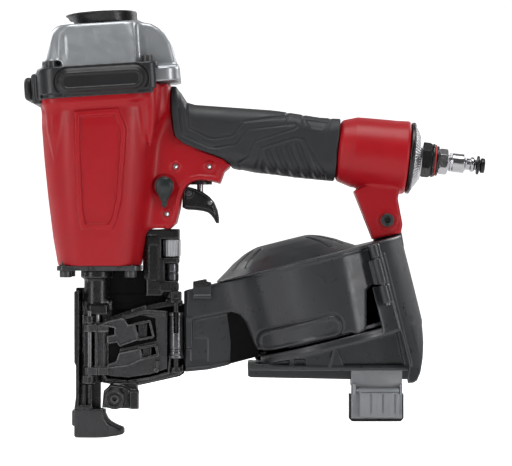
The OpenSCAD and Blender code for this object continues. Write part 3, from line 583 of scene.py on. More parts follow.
def deflector():
    c = Clay((-22, -25, 256), (31, 25, 269), 0.45)
    u, h = HEAD.local(c.x, c.z)
    from_axis = u - 6.8
    around = np.hypot(from_axis, c.y)
    r = 20.4 + 0.27 * np.clip(h - 40.4, 0, 7.4)
    body = slab(np.hypot(u - 28.2 + r, c.y) - r, h, 40.5, 47.35, 0.4)
    body = join(body, slab(np.hypot(u - 5.5, c.y) - 22.3, h, 46.3, 47.35, 0.3), 0.5)
    body = cut(body, slab(around - 17.6, h, 46.2, 60), 0.7)
    hub = slab(around - 9.2, h, 44, 47.2, 0.8)
    body = join(body, hub, 1.2)
    body = cut(body, slab(around - 6.2, h, 44.6, 60), 0.5)
    for k in range(12):
        angle = math.radians(30 * k + 15)
        cos, sin = math.cos(angle), math.sin(angle)
        spoke = rect(from_axis * cos + c.y * sin, -from_axis * sin + c.y * cos, 9, 18, -0.6, 0.6, 0.4)
        body = join(body, slab(spoke, h, 45, 46.9, 0.3), 0.6)
    # Exhaust mouth
    mouth = slab(rect(u, c.y, -30, -8, -8, 8, 2), h, 38, 43.6, 1)
    body = cut(body, mouth, 0.8)
    body = cut(body, slab(rect(u, c.y, 24.4, 40, -3, 3, 1), h, 43.5, 60), 0.5)
    casting("deflector", c, body, "black_plastic", "exhaust_deflector")


# ------------------------------------------------------------- the magazine

CAN_R, CAN_U = 54.0, -1.7
DOME_U = -21.5
COVER = [(55.8, 73), (79, 77.6), (85, 78.7), (90, 77), (94, 72), (97, 64), (99.5, 58), (101.5, 55.4), (106, 55),
    (112, 56), (145, 64), (158, 67.4), (161, 66.5), (163, 66.2), (167.6, 68.4), (168.4, 72), (168.4, 93),
    (171.5, 96.4), (181, 96.4), (186, 122), (150, 122), (58, 122)]
COVER_PANEL = [(55.8, 41.6), (70, 42.9), (80, 45.2), (84, 46.2), (84.5, 60), (82, 80), (55.8, 76)]


def canister(c):
    """Local coordinates of the tilted canister and the distance from its axis."""
    u, h = CANISTER.local(c.x, c.z)
    return u, h, c.y - CANISTER_Y, np.hypot(u - CAN_U, c.y - CANISTER_Y)


def magazine_door():
    c = Clay((54, -50, 40), (186, -4, 122), 0.6)
    u, h, w, around = canister(c)
    grip = rect(u, h, -52.5, 2.5, 3.4, 18.2, 7.3)
    outer = CAN_R - 1.3 + 1.3 * smooth_step(-grip, 0.2, 1.6)
    outer = outer - 0.6 * ridge(grip + 0.1, 0.7) - 0.5 * smooth_step(-grip, 2.4, 3.8)
    wall = both(around - outer, (CAN_R - 4.4) - around, 1.0)
    # A flat on the hinge side with a crescent edge
    wall = both(wall, (u - CAN_U) * 0.44 - w * 0.894 - 51.5 - 0.018 * (h - 30), 0.6)
    wall = both(wall, w + 8, 0.5)
    arm = c.block("y", 55.8, 115, 30, 125, 1, -9, -5.8, 1.0)
    shell = join(wall, both(arm, np.minimum(around - CAN_R + 3.4, u + 44), 0.5), 17)
    side = outline(c.x, c.z, COVER)
    shell = both(shell, side, 1.8)
    shell = both(shell, h - 53.3, 2.0)
    shell = both(shell, u - 28.6, 1.2)
    # A folded edge below the top
    shell = join(shell, both(both(wall - 0.5, np.abs(h - 52.2) - 1.2, 0.6), side, 0.5), 0.6)
    # Recessed panel of the feed arm
    panel = c.plate("y", COVER_PANEL, -7.2, -5.6, 0.6)
    sunk = rect(c.x, c.z, 59, 70.5, 47.5, 63, 1)
    panel = panel + 0.6 * smooth_step(-sunk, 0, 0.8) * (c.y < -6.4)
    panel = join(panel, c.block("y", 56, 60.5, 56, 76, 1.2, -8.9, -6, 0.8), 0.8)
    panel = join(panel, c.plate("y", [(56, 41.4), (70, 42.8), (80, 45), (84, 46.2), (84, 48.2), (80, 47),
        (70, 44.9), (56, 43.6)], -8.9, -6, 0.6), 0.8)
    shell = join(shell, panel, 1.2)
    # Hinge knuckle and its strap
    pin = np.hypot(u - COVER_HINGE[0], w - COVER_HINGE[1])
    strap = slab(rect(u, w, 26.5, 32, -50.2, -46.6, 1), h, 29, 44, 0.8)
    shell = join(shell, strap, 2)
    shell = cut(shell, slab(pin - 4.2, h, -10, 70), 0.2)
    knuckle = slab(pin - 3.4, h, 28.4, 44.6, 0.5)
    shell = join(shell, strap, 0.6)
    shell = join(shell, knuckle, 1.0)
    shell = cut(shell, pin - 1.8, 0.1)
    casting("magazine_door", c, shell, "magazine_grey", "magazine_cover")


def nail_plate():
    c = Clay((101, -46, 51), (203, 58, 83), 0.6)
    u, h, w, around = canister(c)
    plate = slab(around - 48.6, h, 3.4, 5.8, 0.6)
    plate = cut(plate, slab(around - 46.2, h, 5.0, 20, 0.3), 0.5)
    for k in range(6):
        t = math.radians(60 * k + 30)
        window = np.hypot(u - CAN_U - 27 * math.cos(t), w - 27 * math.sin(t)) - 7.5
        plate = cut(plate, window, 0.6)
    # Notch in the rim where the strip of nails leaves
    plate = cut(plate, slab(rect(u, w, -60, -33.5, -60, -7.5, 3), h, -5, 30, 0.3), 0.6)
    centre = np.hypot(u, w)
    plate = join(plate, slab(centre - 8, h, 3.4, 17.2, 0.8), 1.5)
    plate = cut(plate, centre - 4.1, 0.3)
    casting("nail_plate", c, plate, "tray_plastic", "nail_tray")


def magazine_dome():
    c = Clay((73, -45, 94), (187, 57, 130.2), 0.6)
    u, h, w, around = canister(c)
    du = u - DOME_U
    radius = np.hypot(du, w)
    half = across([(50, 46.5), (54, 46.3), (58, 39.6), (62, 33.6), (66, 25.6), (69, 17.5), (74, 6)], h)
    cone = (radius - half) * 0.86
    for degrees in (3, 23.5, 44, 130, 151, 172):
        t = math.radians(degrees)
        across_line = du * math.sin(t) - np.abs(w) * math.cos(t)
        along = du * math.cos(t) + np.abs(w) * math.sin(t)
        ends = smooth_step(along, 20.5, 22) * (1 - smooth_step(along, 38.5, 40))
        cone = cone + 2.3 * ridge(across_line, 1.05) * ends
    top = both(cone, h - 68.8, 3.0)
    top = both(top, 53.0 - h, 0.6)
    inner = both((radius - half + 3.4) * 0.86, h - 66.2, 2.0)
    top = cut(top, both(inner, around - CAN_R + 3, 0.3), 0.5)
    casting("magazine_dome", c, top, "magazine_grey", "magazine_roof")


REAR_WALL = [(168.5, 120.6), (179.5, 124), (191.3, 127.8), (195, 113), (200, 95), (203.5, 80), (205, 70),
    (205.2, 60), (204.2, 50), (202.5, 42), (200, 37), (197.5, 35.8), (193.5, 35.8), (193.3, 40), (195, 48),
    (190, 72), (185, 90), (178, 113.5), (176, 116)]


def magazine_body():
    c = Clay((54.5, -49.5, 35.2), (206.5, 61, 145), 0.75)
    u, h, w, around = canister(c)
    outer = around - CAN_R
    rear = outline(c.x, c.z, REAR_WALL)
    shell = both(outer, CAN_R - 2.6 - around, 1.0)
    shell = both(shell, np.abs(h - 26.5) - 27, 1.6)
    # Open at the front, where the cover closes it, and along the feed arm
    shell = cut(shell, both(w + 7, u - 35.6, 0.2), 0.8)
    shell = cut(shell, slab(rect(u, w, -70, -40, -13, -1, 1), h, -1, 50), 0.6)
    hinge_wall = both(both(outer, CAN_R - 2.6 - around, 0.8), np.maximum(25 - u, u - 37), 0.6)
    hinge_wall = both(hinge_wall, np.maximum(np.maximum(w, c.z - 95.4), -1 - h), 0.8)
    shell = join(shell, hinge_wall, 0.8)
    # The rear wall's skirt runs down past the floor
    skirt = both(both(outer, CAN_R - 2.8 - around, 0.8), rear, 1.4)
    skirt = both(skirt, w - 30, 0.5)
    skirt = both(skirt, 30 - u, 0.4)
    shell = join(shell, skirt, 1.2)
    # Raised rim along the wall's front edge
    rim = both(both(outer - 0.7, CAN_R - 4.2 - around, 0.5), np.abs(u - 36.9) - 0.9, 0.5)
    rim = both(rim, np.maximum(w, np.maximum(h - 46, -25 - h)), 0.6)
    shell = join(shell, rim, 0.8)
    floor = slab(outer + 0.3, h, -3, 0, 0.8)
    shell = join(shell, floor, 1.5)
    lip = slab(np.abs(around - CAN_R + 1.6) - 1.2, h, -2.5, 2.4, 0.6)
    shell = join(shell, both(lip, np.maximum(w + 9, -u - 52), 0.3), 0.8)
    lid = slab(outer + 0.4, h, 52.2, 54.2, 0.9)
    dome_hole = np.hypot(u - DOME_U, w) - 42
    lid = cut(lid, both(dome_hole, outer + 4, 0.4), 0.5)
    shell = join(shell, lid, 1.5)
    post = slab(np.hypot(u, w) - 4, h, -1, 34, 0.8)
    shell = join(shell, post, 1.5)
    # Far wall of the feed arm
    arm = c.plate("y", [(54.7, 41), (70, 42.7), (80, 45.2), (107, 52.4), (107, 104), (90, 99.8), (75, 96.8),
        (58, 93), (54.7, 92)], 3, 6, 0.7)
    arm_floor = c.plate("y", [(55.6, 41.2), (70, 42.7), (80, 45.2), (107, 52.4), (107, 54.6), (80, 47.5),
        (55.6, 43.6)], -5.1, 5, 0.5)
    shell = join(shell, join(arm, arm_floor, 0.8), 1.5)
    # Hinge: bracket and two knuckles
    pin = np.hypot(u - COVER_HINGE[0], w - COVER_HINGE[1])
    strap = slab(rect(u, w, 32, 37, -49.2, -35, 1.5), h, 17, 53.4, 1.2)
    strap = cut(strap, slab(pin - 4.3, h, 28, 45), 0.3)
    shell = join(shell, both(strap, np.minimum(outer + 0.2, pin - 3.3), 0.4), 1.2)
    for z0, z1 in ((16.2, 28), (45, 53.4)):
        shell = join(shell, slab(pin - 3.4, h, z0, z1, 0.5), 1.0)
    shell = cut(shell, slab(pin - 1.85, h, 0, 60), 0.1)
    # Tab in the housing's leg
    tab = c.plate("y", [(173, 116), (193, 121), (189.5, 143.5), (176.5, 143.5)], -3.7, 3.7, 1)
    shell = join(shell, tab, 1.5)
    shell = cut(shell, disc(c.x, c.z, LEG_SCREW, 2.5), 0.2)
    # Wedge below the floor with a sunk side and the shingle guide's rail
    under = h + 2.4
    wedge = c.plate("y", [(98, 43.2), (199, 43.2), (200.5, 50), (200, 75), (94, 52)], -23, 27, 1.5)
    wedge = both(wedge, np.maximum(under, outer + 0.5), 0.8)
    pocket = slab(outline(c.x, c.z, [(155, 46.5), (192, 46.8), (187.5, 68), (160, 61.5), (150, 59)]),
        np.abs(c.y - 2), 22.2, 60, 0.8)
    wedge = cut(wedge, pocket, 1.0)
    wedge = join(wedge, slab(line(c.x, c.z, [(146, 46), (148.4, 57.2)]) - 0.5, np.abs(c.y - 2), 20, 25.7, 0.3), 0.4)
    for px, pz, qx, qz in ((106, 46, 121, 49.6), (124, 46.4, 131, 50)):
        wedge = cut(wedge, slab(rect(c.x, c.z, px, qx, pz, qz, 0.6), np.abs(c.y - 2), 22.6, 60, 0.4), 0.5)
    shell = join(shell, wedge, 2.0)
    rail = c.plate("y", [(95, 38.2), (97, 37.4), (160, 36.2), (199.5, 36.2), (199.5, 43.4), (160, 43.4),
        (95, 46.8)], 0.2, 11.8, 0.5)
    plate = c.plate("y", [(95, 43.2), (200, 43.2), (200, 45.4), (160, 45.4), (95, 47.4)], -23, 27, 0.6)
    shell = join(shell, join(rail, plate, 0.8), 0.8)
    casting("magazine_body", c, shell, "magazine_grey", "magazine_housing", "magazine_base")

# --------------------------------------------------- nose, door and contact arm


def nose_casting():
    c = Clay((-10.4, -18.2, 18.2), (55.4, 10.2, 105.2), 0.45)
    body = c.rod("z", (0, 0), 8.0, 83, 104.9, 0.8)
    body = join(body, c.rod("z", (0, 0), 10.1, 100.2, 104.95, 0.8), 2)
    body = join(body, c.block("z", -8.6, 10, -4.6, 9, 1.5, 34, 86, 1.2), 2.5)
    collar = c.block("z", -5, 7.5, -8.6, 2, 2, 77.2, 83.5, 1)
    body = join(body, collar, 1.6)
    wall = c.plate("y", [(3, 34), (20, 31), (32, 33.5), (52, 38), (55, 40), (55, 84), (9, 84)], 3, 6, 0.7)
    wall = join(wall, c.block("y", 6, 31, 80, 104.9, 1, 3, 6, 0.7), 1.2)
    wall = join(wall, c.block("y", 6, 42.6, 80, 90, 1, 3, 6, 0.7), 1.2)
    # Painted shade: the nose's far wall and webs take the near-black shade material, darker than the nose itself
    casting("nose_web", c, wall, "painted_shade_black", body="housing", slot="black_plastic")
    # Ledge under the door and its outer lip
    edge = [(4, 41), (6.5, 36.6), (20, 35.4), (34, 37.6), (45.5, 41), (46.5, 50)]
    ledge = slab(line(c.x, c.z, edge) - 0.8, c.y, -8.6, 5, 0.5)
    body = join(body, ledge, 1.0)
    body = join(body, c.plate("y", [(5, 38), (6, 34.5), (20, 32.8), (32, 34.6), (52, 39.5), (54.5, 41.5),
        (54.5, 46), (46.8, 42.2), (34, 38.4), (20, 36.2)], -6.8, 5, 0.8), 0.8)
    # Upper rail from the barrel to the latch
    rail = c.plate("y", [(5, 74.5), (14, 77.8), (30, 82.6), (44, 85.6), (54, 86), (54, 82.8), (44, 82), (30, 79),
        (5, 71.5)], -5.6, 5, 0.7)
    body = join(body, rail, 1.0)
    # Room for the contact arm behind the rail and for its two pins
    body = cut(body, c.block("z", 42.6, 52.4, -4.5, 20, 0.3, 84.1, 120, 0.2), 0.2)
    body = join(body, c.plate("y", [(21.8, 80.4), (31.3, 83.4), (31.3, 80.6), (22.6, 77.8)], -7.4, -3, 0.6), 0.6)
    # Boss in front of the nose tip
    lobe = c.plate("y", [(4, 19.4), (27, 18.6), (27, 29.5), (22, 30), (17, 32.6), (9, 33.5), (5, 30)], -15.6, -9,
        1.4)
    lobe = join(lobe, c.rod("y", BOSS, 6.4, -17.4, -8.4, 1.2), 1.2)
    lobe = cut(lobe, c.rod("y", BOSS, 4.4, -30, -16.6, 0.3), 0.4)
    lobe = join(lobe, c.rod("y", BOSS, 2.9, -17.6, -9, 0.6), 0.4)
    lobe = cut(lobe, c.rod("y", BOSS, 1.3, -30, -14, 0.2), 0.3)
    lobe = join(lobe, c.block("y", 21.4, 26.8, 18.6, 29.6, 1, -16.8, -8.6, 0.8), 0.8)
    lobe = cut(lobe, c.block("y", 17.8, 20.4, 17, 31, 0.8, -30, -14.6, 0.3), 0.5)
    lobe = join(lobe, c.block("y", 9.5, 26, 28, 35, 2, -12, 5.5, 1), 2.5)
    body = join(body, lobe, 2)
    for z0, z1 in ((34.1, 39), (71.9, 76.4)):
        lug = c.rod("z", DOOR_HINGE, 3.2, z0, z1, 0.5)
        lug = join(lug, c.block("z", -8.6, -1, -9.2, -3, 0.8, z0, z1, 0.5), 1)
        body = join(body, lug, 1.0)
    for x in (14, 23.5, 33, 42.5):
        body = join(body, c.block("y", x - 0.7, x + 0.7, 36, 83, 0.5, 5.5, 7.2, 0.5), 1.0)
    body = cut(body, c.rod("z", (0, 0), 4.1, 10, 80), 0.3)
    body = cut(body, c.rod("z", (0, 0), 3.2, 60, 120), 0.3)
    body = cut(body, c.block("z", -3.4, 11, -4.9, 3, 0.6, 25, 80, 0.4), 0.5)
    body = cut(body, c.block("y", 4, 34, 57, 69, 1, -5, 12, 0.4), 0.5)
    body = cut(body, c.rod("z", DOOR_HINGE, 3.9, 39.1, 71.7, 0.2), 0.2)
    for x in (-8.1, -4.4):
        body = cut(body, c.rod("z", (x, -3.7), 1.65, 10, 44.5, 0.2), 0.2)
    casting("nose_casting", c, body, "nose_steel", "nose_housing")


FINGERS = [([(3, 71.3), (8, 73.6), (16, 75.4), (18, 74.6), (20.2, 71.2), (33, 73.6), (34.4, 72.8), (36.4, 64),
    (35.6, 62.9), (26, 61.4), (15, 57.4), (13, 60), (8, 59), (7, 60), (7, 64), (11.6, 65), (11.6, 69),
    (7, 70)], [(24.8, 70.8), (33, 72.4), (35, 64.2), (27, 62.6)]), ([(7.3, 43.5), (7.3, 46.5), (12.6, 48),
    (14.4, 53.4), (37.4, 58.3), (38.8, 57.4), (39.8, 52.4), (38.8, 51.2), (29, 49.2), (20, 45)], [(28.2, 55.9),
    (36.8, 57.4), (37.8, 52.9), (29.4, 50.8)])]
DOOR_GAP = [(7.6, 46), (13, 47.6), (15, 56), (38, 61), (37, 75), (30, 76.6), (16, 77), (7.6, 74)]


def swinging_door():
    c = Clay((-7.5, -12.2, 37.2), (45.6, -4.6, 81.4), 0.32)
    body = c.plate("y", [(-1.4, 70.6), (-1.4, 44), (4, 41.8), (7, 39), (20, 37.8), (34, 40), (44.6, 43.4),
        (44.8, 79.6), (30, 80.8), (15, 77)], -8.6, -5.6, 0.6)
    body = cut(body, c.block("y", -3, 7.2, 45.2, 65.8, 0.6, -20, -6.7, 0.2), 0.4)
    # Deep gaps around the fingers
    gap = c.plate("y", DOOR_GAP, -20, -6.9, 0.3)
    body = cut(body, gap, 0.5)
    # Painted shade: a near-black sheet on the floor of the gaps, so they read as deep shade
    floor = both(outline(c.x, c.z, DOOR_GAP), np.abs(c.y + 6.7) - 0.4, 0.1)
    for _, window in FINGERS:
        floor = cut(floor, outline(c.x, c.z, window), 0.1)
    casting("door_gap", c, floor, "painted_shade_black", body="feed_door", slot="black_plastic")
    body = join(body, c.plate("y", [(10, 74.6), (17, 76.6), (30, 80.4), (44, 79.4), (44, 77), (30, 77.6),
        (20, 74.8), (12, 72.6)], -9.4, -6, 0.5), 0.8)
    for edge, window in FINGERS:
        shape = outline(c.x, c.z, edge)
        finger = slab(shape, c.y, -11.4, -6.2, 0.7)
        finger = join(finger, both(slab(shape, c.y, -12.15, -8, 0.35), -(shape + 1.0), 0.3), 0.25)
        hole = outline(c.x, c.z, window)
        finger = join(finger, both(slab(hole - 1.6, c.y, -12.1, -8, 0.4), -hole, 0.3), 0.4)
        body = join(body, finger, 0.6)
        body = cut(body, slab(hole, c.y, -30, 0), 0.5)
    # Feed pawls seen in the windows
    for x, z0, z1 in ((31.4, 61.5, 73), (34.2, 49.5, 58)):
        body = join(body, c.rod("z", (x, -7.6), 0.8, z0, z1, 0.2), 0.3)
        body = join(body, c.block("z", x - 5.2, x - 0.6, -7.6, -6.4, 0.3, z0, z1, 0.3), 0.3)
    body = join(body, c.rod("z", (38.4, -9.6), 1.2, 41.8, 48.4, 0.6), 1.0)
    body = join(body, c.rod("y", (37.9, 42.6), 1.5, -11.2, -8, 0.5), 0.5)
    for z0, z1 in ((39.6, 44.2), (66.6, 71.2)):
        lug = c.rod("z", DOOR_HINGE, 3.2, z0, z1, 0.5)
        strap = c.block("z", -4, 8, -11.7, -7.4, 0.8, z0, z1, 0.6)
        strap = cut(strap, c.block("z", 0.6, 1.6, -13, -10.9, 0.2, 0, 99), 0.3)
        body = join(body, join(lug, strap, 0.8), 0.8)
    for x0, x1 in ((-0.9, 1.1), (3.9, 6.1)):
        body = join(body, c.block("z", x0, x1, -8.8, -6.4, 0.8, 43, 68, 0.5), 0.6)
    body = cut(body, np.hypot(c.x - DOOR_HINGE[0], c.y - DOOR_HINGE[1]) - 1.56, 0.1)
    casting("swinging_door", c, body, "door_steel", "feed_door")


def door_catch():
    c = Clay((44.9, -14.7, 49.6), (55.5, -4.4, 79.4), 0.28)
    around = np.hypot(c.x - LATCH_POST[0], c.y - LATCH_POST[1])
    body = slab(around - 4.15 + 0.25 * smooth_step(c.z, 60, 76), c.z, 50.1, 78.9, 0.6)
    body = join(body, slab(around - 4.75, c.z, 50.05, 52.2, 0.5), 0.5)
    body = join(body, slab(around - 4.6, c.z, 76.4, 78.9, 0.5), 0.5)
    body = cut(body, c.block("y", 48.7, 51.7, 65.6, 90, 1.4, -30, -9, 0.3), 0.4)
    body = cut(body, slab(around - 2.15, c.z, 40, 90, 0.1), 0.2)
    for z in (54.5, 56):
        body = body + 0.25 * ridge(c.z - z, 0.35)
    casting("door_catch", c, body, "dark_steel", "door_latch", slot="door_steel")


def catch_post():
    c = Clay((46.2, -13.6, 40.7), (54.2, 3.3, 92.4), 0.32)
    around = np.hypot(c.x - LATCH_POST[0], c.y - LATCH_POST[1])
    body = slab(around - 1.8, c.z, 41, 91.9, 0.3)
    body = join(body, c.block("z", 47.2, 53.2, -12.6, 2.9, 1.5, 41.1, 43.9, 0.6), 0.6)
    body = join(body, slab(around - 3.45, c.z, 41.1, 44.6, 0.5), 0.5)
    # Clamp above the catch
    clamp = c.block("z", 46.8, 53.6, -12.9, -6.3, 1.2, 84.6, 91.9, 0.8)
    clamp = cut(clamp, c.block("y", 48.8, 51.6, 80, 87, 0.6, -30, -11, 0.3), 0.4)
    clamp = cut(clamp, c.rod("y", (50.2, 89.2), 1.3, -30, -12, 0.2), 0.3)
    clamp = cut(clamp, c.block("y", 40, 60, 86.6, 87.3, 0.3, -30, -12.3, 0.1), 0.3)
    body = join(body, clamp, 0.8)
    body = join(body, c.block("z", 47.2, 53.2, -8, -4.5, 0.8, 84.2, 88.9, 0.6), 0.6)
    casting("catch_post", c, body, "black_steel", "latch_post")


def foot():
    c = Clay((-15.6, -7.6, -0.1), (17.7, 10.2, 18.3), 0.32)
    shape = outline(c.x, c.z, [(-14, 1), (-13, 0.1), (0, 0.05), (6, 0.3), (13, 1.1), (16.4, 2.0), (17.4, 3.0),
        (17.4, 5), (16.9, 6.4), (12.8, 8.1), (9.5, 9.9), (7.2, 12.2), (5.7, 15.4), (5.6, 17.9), (-14, 17.9)])
    narrow = smooth_step(c.x, 3, 15)
    body = slab(shape, c.y, -7.4, 9.9, 1.0)
    body = both(body, -c.y - 7.4 + 2.6 * narrow, 1.2)
    body = both(body, c.y - 9.9 + 4.4 * narrow, 1.2)
    # The hook's hollow flank
    hollow = outline(c.x, c.z, [(3.5, 19), (4.6, 11.5), (7, 8.2), (14.5, 4.8), (20, 9), (14, 19)])
    body = cut(body, both(hollow, np.abs(c.y - 0.8) * -1 + 3.4, 0.6), 1.0)
    pad = c.block("x", -5.9, 7.9, 7.2, 17.4, 2, -15.5, -12, 0.9)
    body = join(body, pad, 0.8)
    body = cut(body, c.rod("z", (0, 0), 4.2, -5, 30), 0.5)
    # Teeth under the foot
    teeth = smooth_step(np.abs(((c.x / 3.2) % 1.0) - 0.5), 0.2, 0.45) * (1 - smooth_step(c.z, 0.3, 0.9))
    body = body + 0.5 * teeth * (np.abs(c.y - 1) < 5.6)
    casting("foot", c, body, "door_steel", "contact_foot")


def sliding_arm():
    c = Clay((-14.2, -7.7, 4), (51.6, 13.2, 94.3), 0.45)
    front = c.plate("y", [(-13.9, 100), (-13.9, 47.2), (-12.9, 45.4), (-12.9, 26), (-13.9, 18.1), (-11.2, 18.1),
        (-10.9, 26), (-10.9, 100)], -7.4, 12.9, 0.6)
    front = both(front, c.z - 92, 0.8)
    slot = c.block("x", -2, 7.5, 52, 86, 3, -20, -9)
    front = cut(front, slot, 0.6)
    side = outline(c.x, c.z, [(-13.9, 4.1), (1.9, 4.1), (1.9, 84.6), (50.9, 84.6), (50.9, 93.9), (28.1, 93.9),
        (28.1, 90.1), (15.9, 90.1), (15.9, 93.9), (-13.9, 93.9)])
    back = slab(side, c.y, 10.1, 12.9, 0.6)
    back = cut(back, c.block("y", 8, 40, 87.4, 91.2, 1.8, 0, 20), 0.4)
    body = join(front, back, 1.4)
    for x in (-8.1, -4.4):
        body = join(body, c.rod("z", (x, -3.7), 1.2, 16, 33, 0.3), 0.4)
    body = join(body, c.block("z", -13.6, -2.8, -6.8, -2.4, 0.8, 18.1, 20.4, 0.5), 0.6)
    block = c.block("z", 43.4, 51.1, -4, 12, 1, 84.6, 87.1, 0.6)
    body = join(body, block, 1.0)
    body = join(body, c.rod("z", DEPTH_ROD, 3.5, 85, 94.0, 0.4), 0.8)
    d = Clay((44.4, -2.8, 92), (50, 2.8, 128.3), 0.25)
    around = np.hypot(d.x - DEPTH_ROD[0], d.y)
    turn = np.arctan2(d.y, d.x - DEPTH_ROD[0]) / (2 * math.pi)
    thread = 0.22 * np.cos(2 * math.pi * (d.z / 1.25 - turn)) * smooth_step(d.z, 108, 111)
    casting("depth_rod", d, slab(around - 2.05 - thread, d.z, 93, 127.9, 0.5), "steel", body="contact_element")
    casting("sliding_arm", c, body, "nose_steel", "contact_arm")


def arm_bracket():
    c = Clay((28.2, -9.4, 88.6), (52.5, 9.4, 131.6), 0.4)
    body = c.plate("y", [(31.2, 89.2), (41, 89.2), (43, 92), (43, 111), (40.8, 113), (40.8, 124.6), (51.9, 124.8),
        (51.9, 130.9), (29, 130.9), (29, 101), (31.2, 99)], -8.9, 8.9, 1.0)
    body = both(body, rect(c.x, c.y, 28.8, 62, -8.95, 8.95, 5.5), 0.5)
    body = cut(body, c.block("y", 33.2, 39, 99, 121, 1, -30, -8.1, 0.3), 0.5)
    body = join(body, c.block("z", 40, 51.9, -7, 7, 2, 109.5, 112.9, 0.6), 1.0)
    body = join(body, c.rod("z", DEPTH_ROD, 4.15, 97.5, 112, 0.4), 0.8)
    body = join(body, c.block("y", 40, 51.9, 109.6, 130.9, 0.8, 6.3, 8.9, 0.6), 0.8)
    body = cut(body, c.rod("z", DEPTH_ROD, 6.1, 113.2, 124.5, 0.2), 0.3)
    body = cut(body, c.rod("z", DEPTH_ROD, 2.5, 80, 140), 0.2)
    body = cut(body, c.rod("z", DEPTH_ROD, 3.6, 80, 109.4, 0.1), 0.2)
    body = cut(body, c.block("y", 31, 38, 126.4, 127.2, 0.2, -30, -8.4, 0.1), 0.3)
    tube = slab(np.abs(np.hypot(c.x - DEPTH_ROD[0], c.y) - 4.0) - 0.35, c.z, 98.6, 109.2, 0.2)
    tube = tube + 0.2 * ridge(c.z - 103.6, 0.4)
    casting("spring_tube", c, both(tube, c.y - 3.2, 0.1), "dark_steel", body="housing", slot="steel")
    knuckle = c.block("y", 40, 51.9, 91.4, 98.4, 2.4, -8.9, -5.2, 1.0)
    knuckle = cut(knuckle, c.rod("y", (48.6, 95), 1.4, -30, -8.2, 0.2), 0.3)
    body = join(body, knuckle, 1.0)
    casting("arm_bracket", c, body, "black_steel", "guide_bracket")

# ------------------------------------------------- trigger, knob and air inlet


def finger_trigger():
    c = Clay((53.6, -8.7, 134.2), (77.4, 8.7, 157.9), 0.28)
    shape = outline(c.x, c.z, [(54, 144.6), (54, 150), (54.4, 155), (55.6, 156.9), (58, 157.5), (62, 156.4),
        (67, 154.2), (71, 151.4), (74, 147.9), (76, 143), (76.9, 138), (76.9, 134.6), (75.2, 134.6), (73.6, 137.6),
        (72, 139.7), (70, 141.3), (67, 142.2), (63, 142.8), (56.5, 143.2)])
    body = slab(shape, c.y, -8.4, 8.4, 1.6)
    hollow = outline(c.x, c.z, [(50, 145.4), (57, 145.2), (64, 144.8), (70, 143.6), (74, 140.2), (75.6, 137),
        (80, 140), (80, 162), (50, 162)])
    body = cut(body, slab(hollow, c.y, -5.8, 5.8, 0.8), 0.5)
    body = cut(body, disc(c.x, c.z, (71.3, 147.3), 1.62), 0.3)
    body = cut(body, disc(c.x, c.z, TRIGGER_VALVE_PIN, 2.05), 0.2)
    lip = slab(disc(c.x, c.z, TRIGGER_VALVE_PIN, 3.2), np.abs(c.y), 6, 8.6, 0.4)
    body = join(body, cut(lip, disc(c.x, c.z, TRIGGER_VALVE_PIN, 2.05), 0.1), 0.6)
    body = body + 0.35 * ridge(shape + 1.5, 0.45) * smooth_step(np.abs(c.y), 7.6, 8)
    casting("finger_trigger", c, body, "black_plastic", "trigger")


def selector_knob():
    c = Clay((36.6, -20.6, 143.9), (49.4, -14.6, 164.4), 0.25)
    t = np.clip((158 - c.z) / 12.2, 0, 1)
    flat = np.hypot(c.x - 43, c.z - np.clip(c.z, 145.8, 158)) - (5.9 - 4.3 * smooth_step(t, 0, 1))
    body = slab(flat, c.y, -16.6, -14.95, 0.5)
    body = join(body, slab(flat + 0.9, c.y, -20.2, -15, 1.8), 0.6)
    bulge = 1.2 * np.exp(-(((c.x - 43) ** 2 + (c.z - 158.4) ** 2) / 14))
    body = both(body, -(c.y + 18.9 + bulge), 0.8)
    body = cut(body, c.block("y", 42.6, 43.4, 146.5, 151, 0.3, -30, -18.6, 0.1), 0.3)
    casting("selector_knob", c, body, "knob_plastic", "mode_selector")
    d = Clay((38.2, -17, 153.2), (47.8, 15.2, 162.8), 0.4)
    shaft = d.rod("y", KNOB, 2.95, -16.5, 14.8, 0.4)
    shaft = join(shaft, d.rod("y", KNOB, 4.4, -16.4, -14.9, 0.3), 0.3)
    casting("selector_shaft", d, shaft, "knob_plastic", body="mode_selector")


def inlet_space(low_u, high_u, radius, step):
    x0, z0 = INLET.world(low_u, 0)
    x1, z1 = INLET.world(high_u, 0)
    c = Clay((x0 - 0.11 * radius - 0.4, -radius - 0.4, min(z0, z1) - radius - 0.4),
        (x1 + 0.11 * radius + 0.4, radius + 0.4, max(z0, z1) + radius + 0.4), step)
    u, h = INLET.local(c.x, c.z)
    return c, u, h, np.hypot(h, c.y)


def hexagon(p, q, half):
    """Signed distance to a hexagon with its corners along q."""
    best = -1e9
    for degrees in (0, 60, 120):
        t = math.radians(degrees)
        best = np.maximum(best, np.abs(p * math.cos(t) + q * math.sin(t)) - half)
    return best


def bevelled(field, around, corner, u, u0, u1):
    """Nut faces with their corners turned off at both ends."""
    inset = np.minimum(u - u0, u1 - u)
    return both(field, around - corner - 0.6 * inset, 0.3)


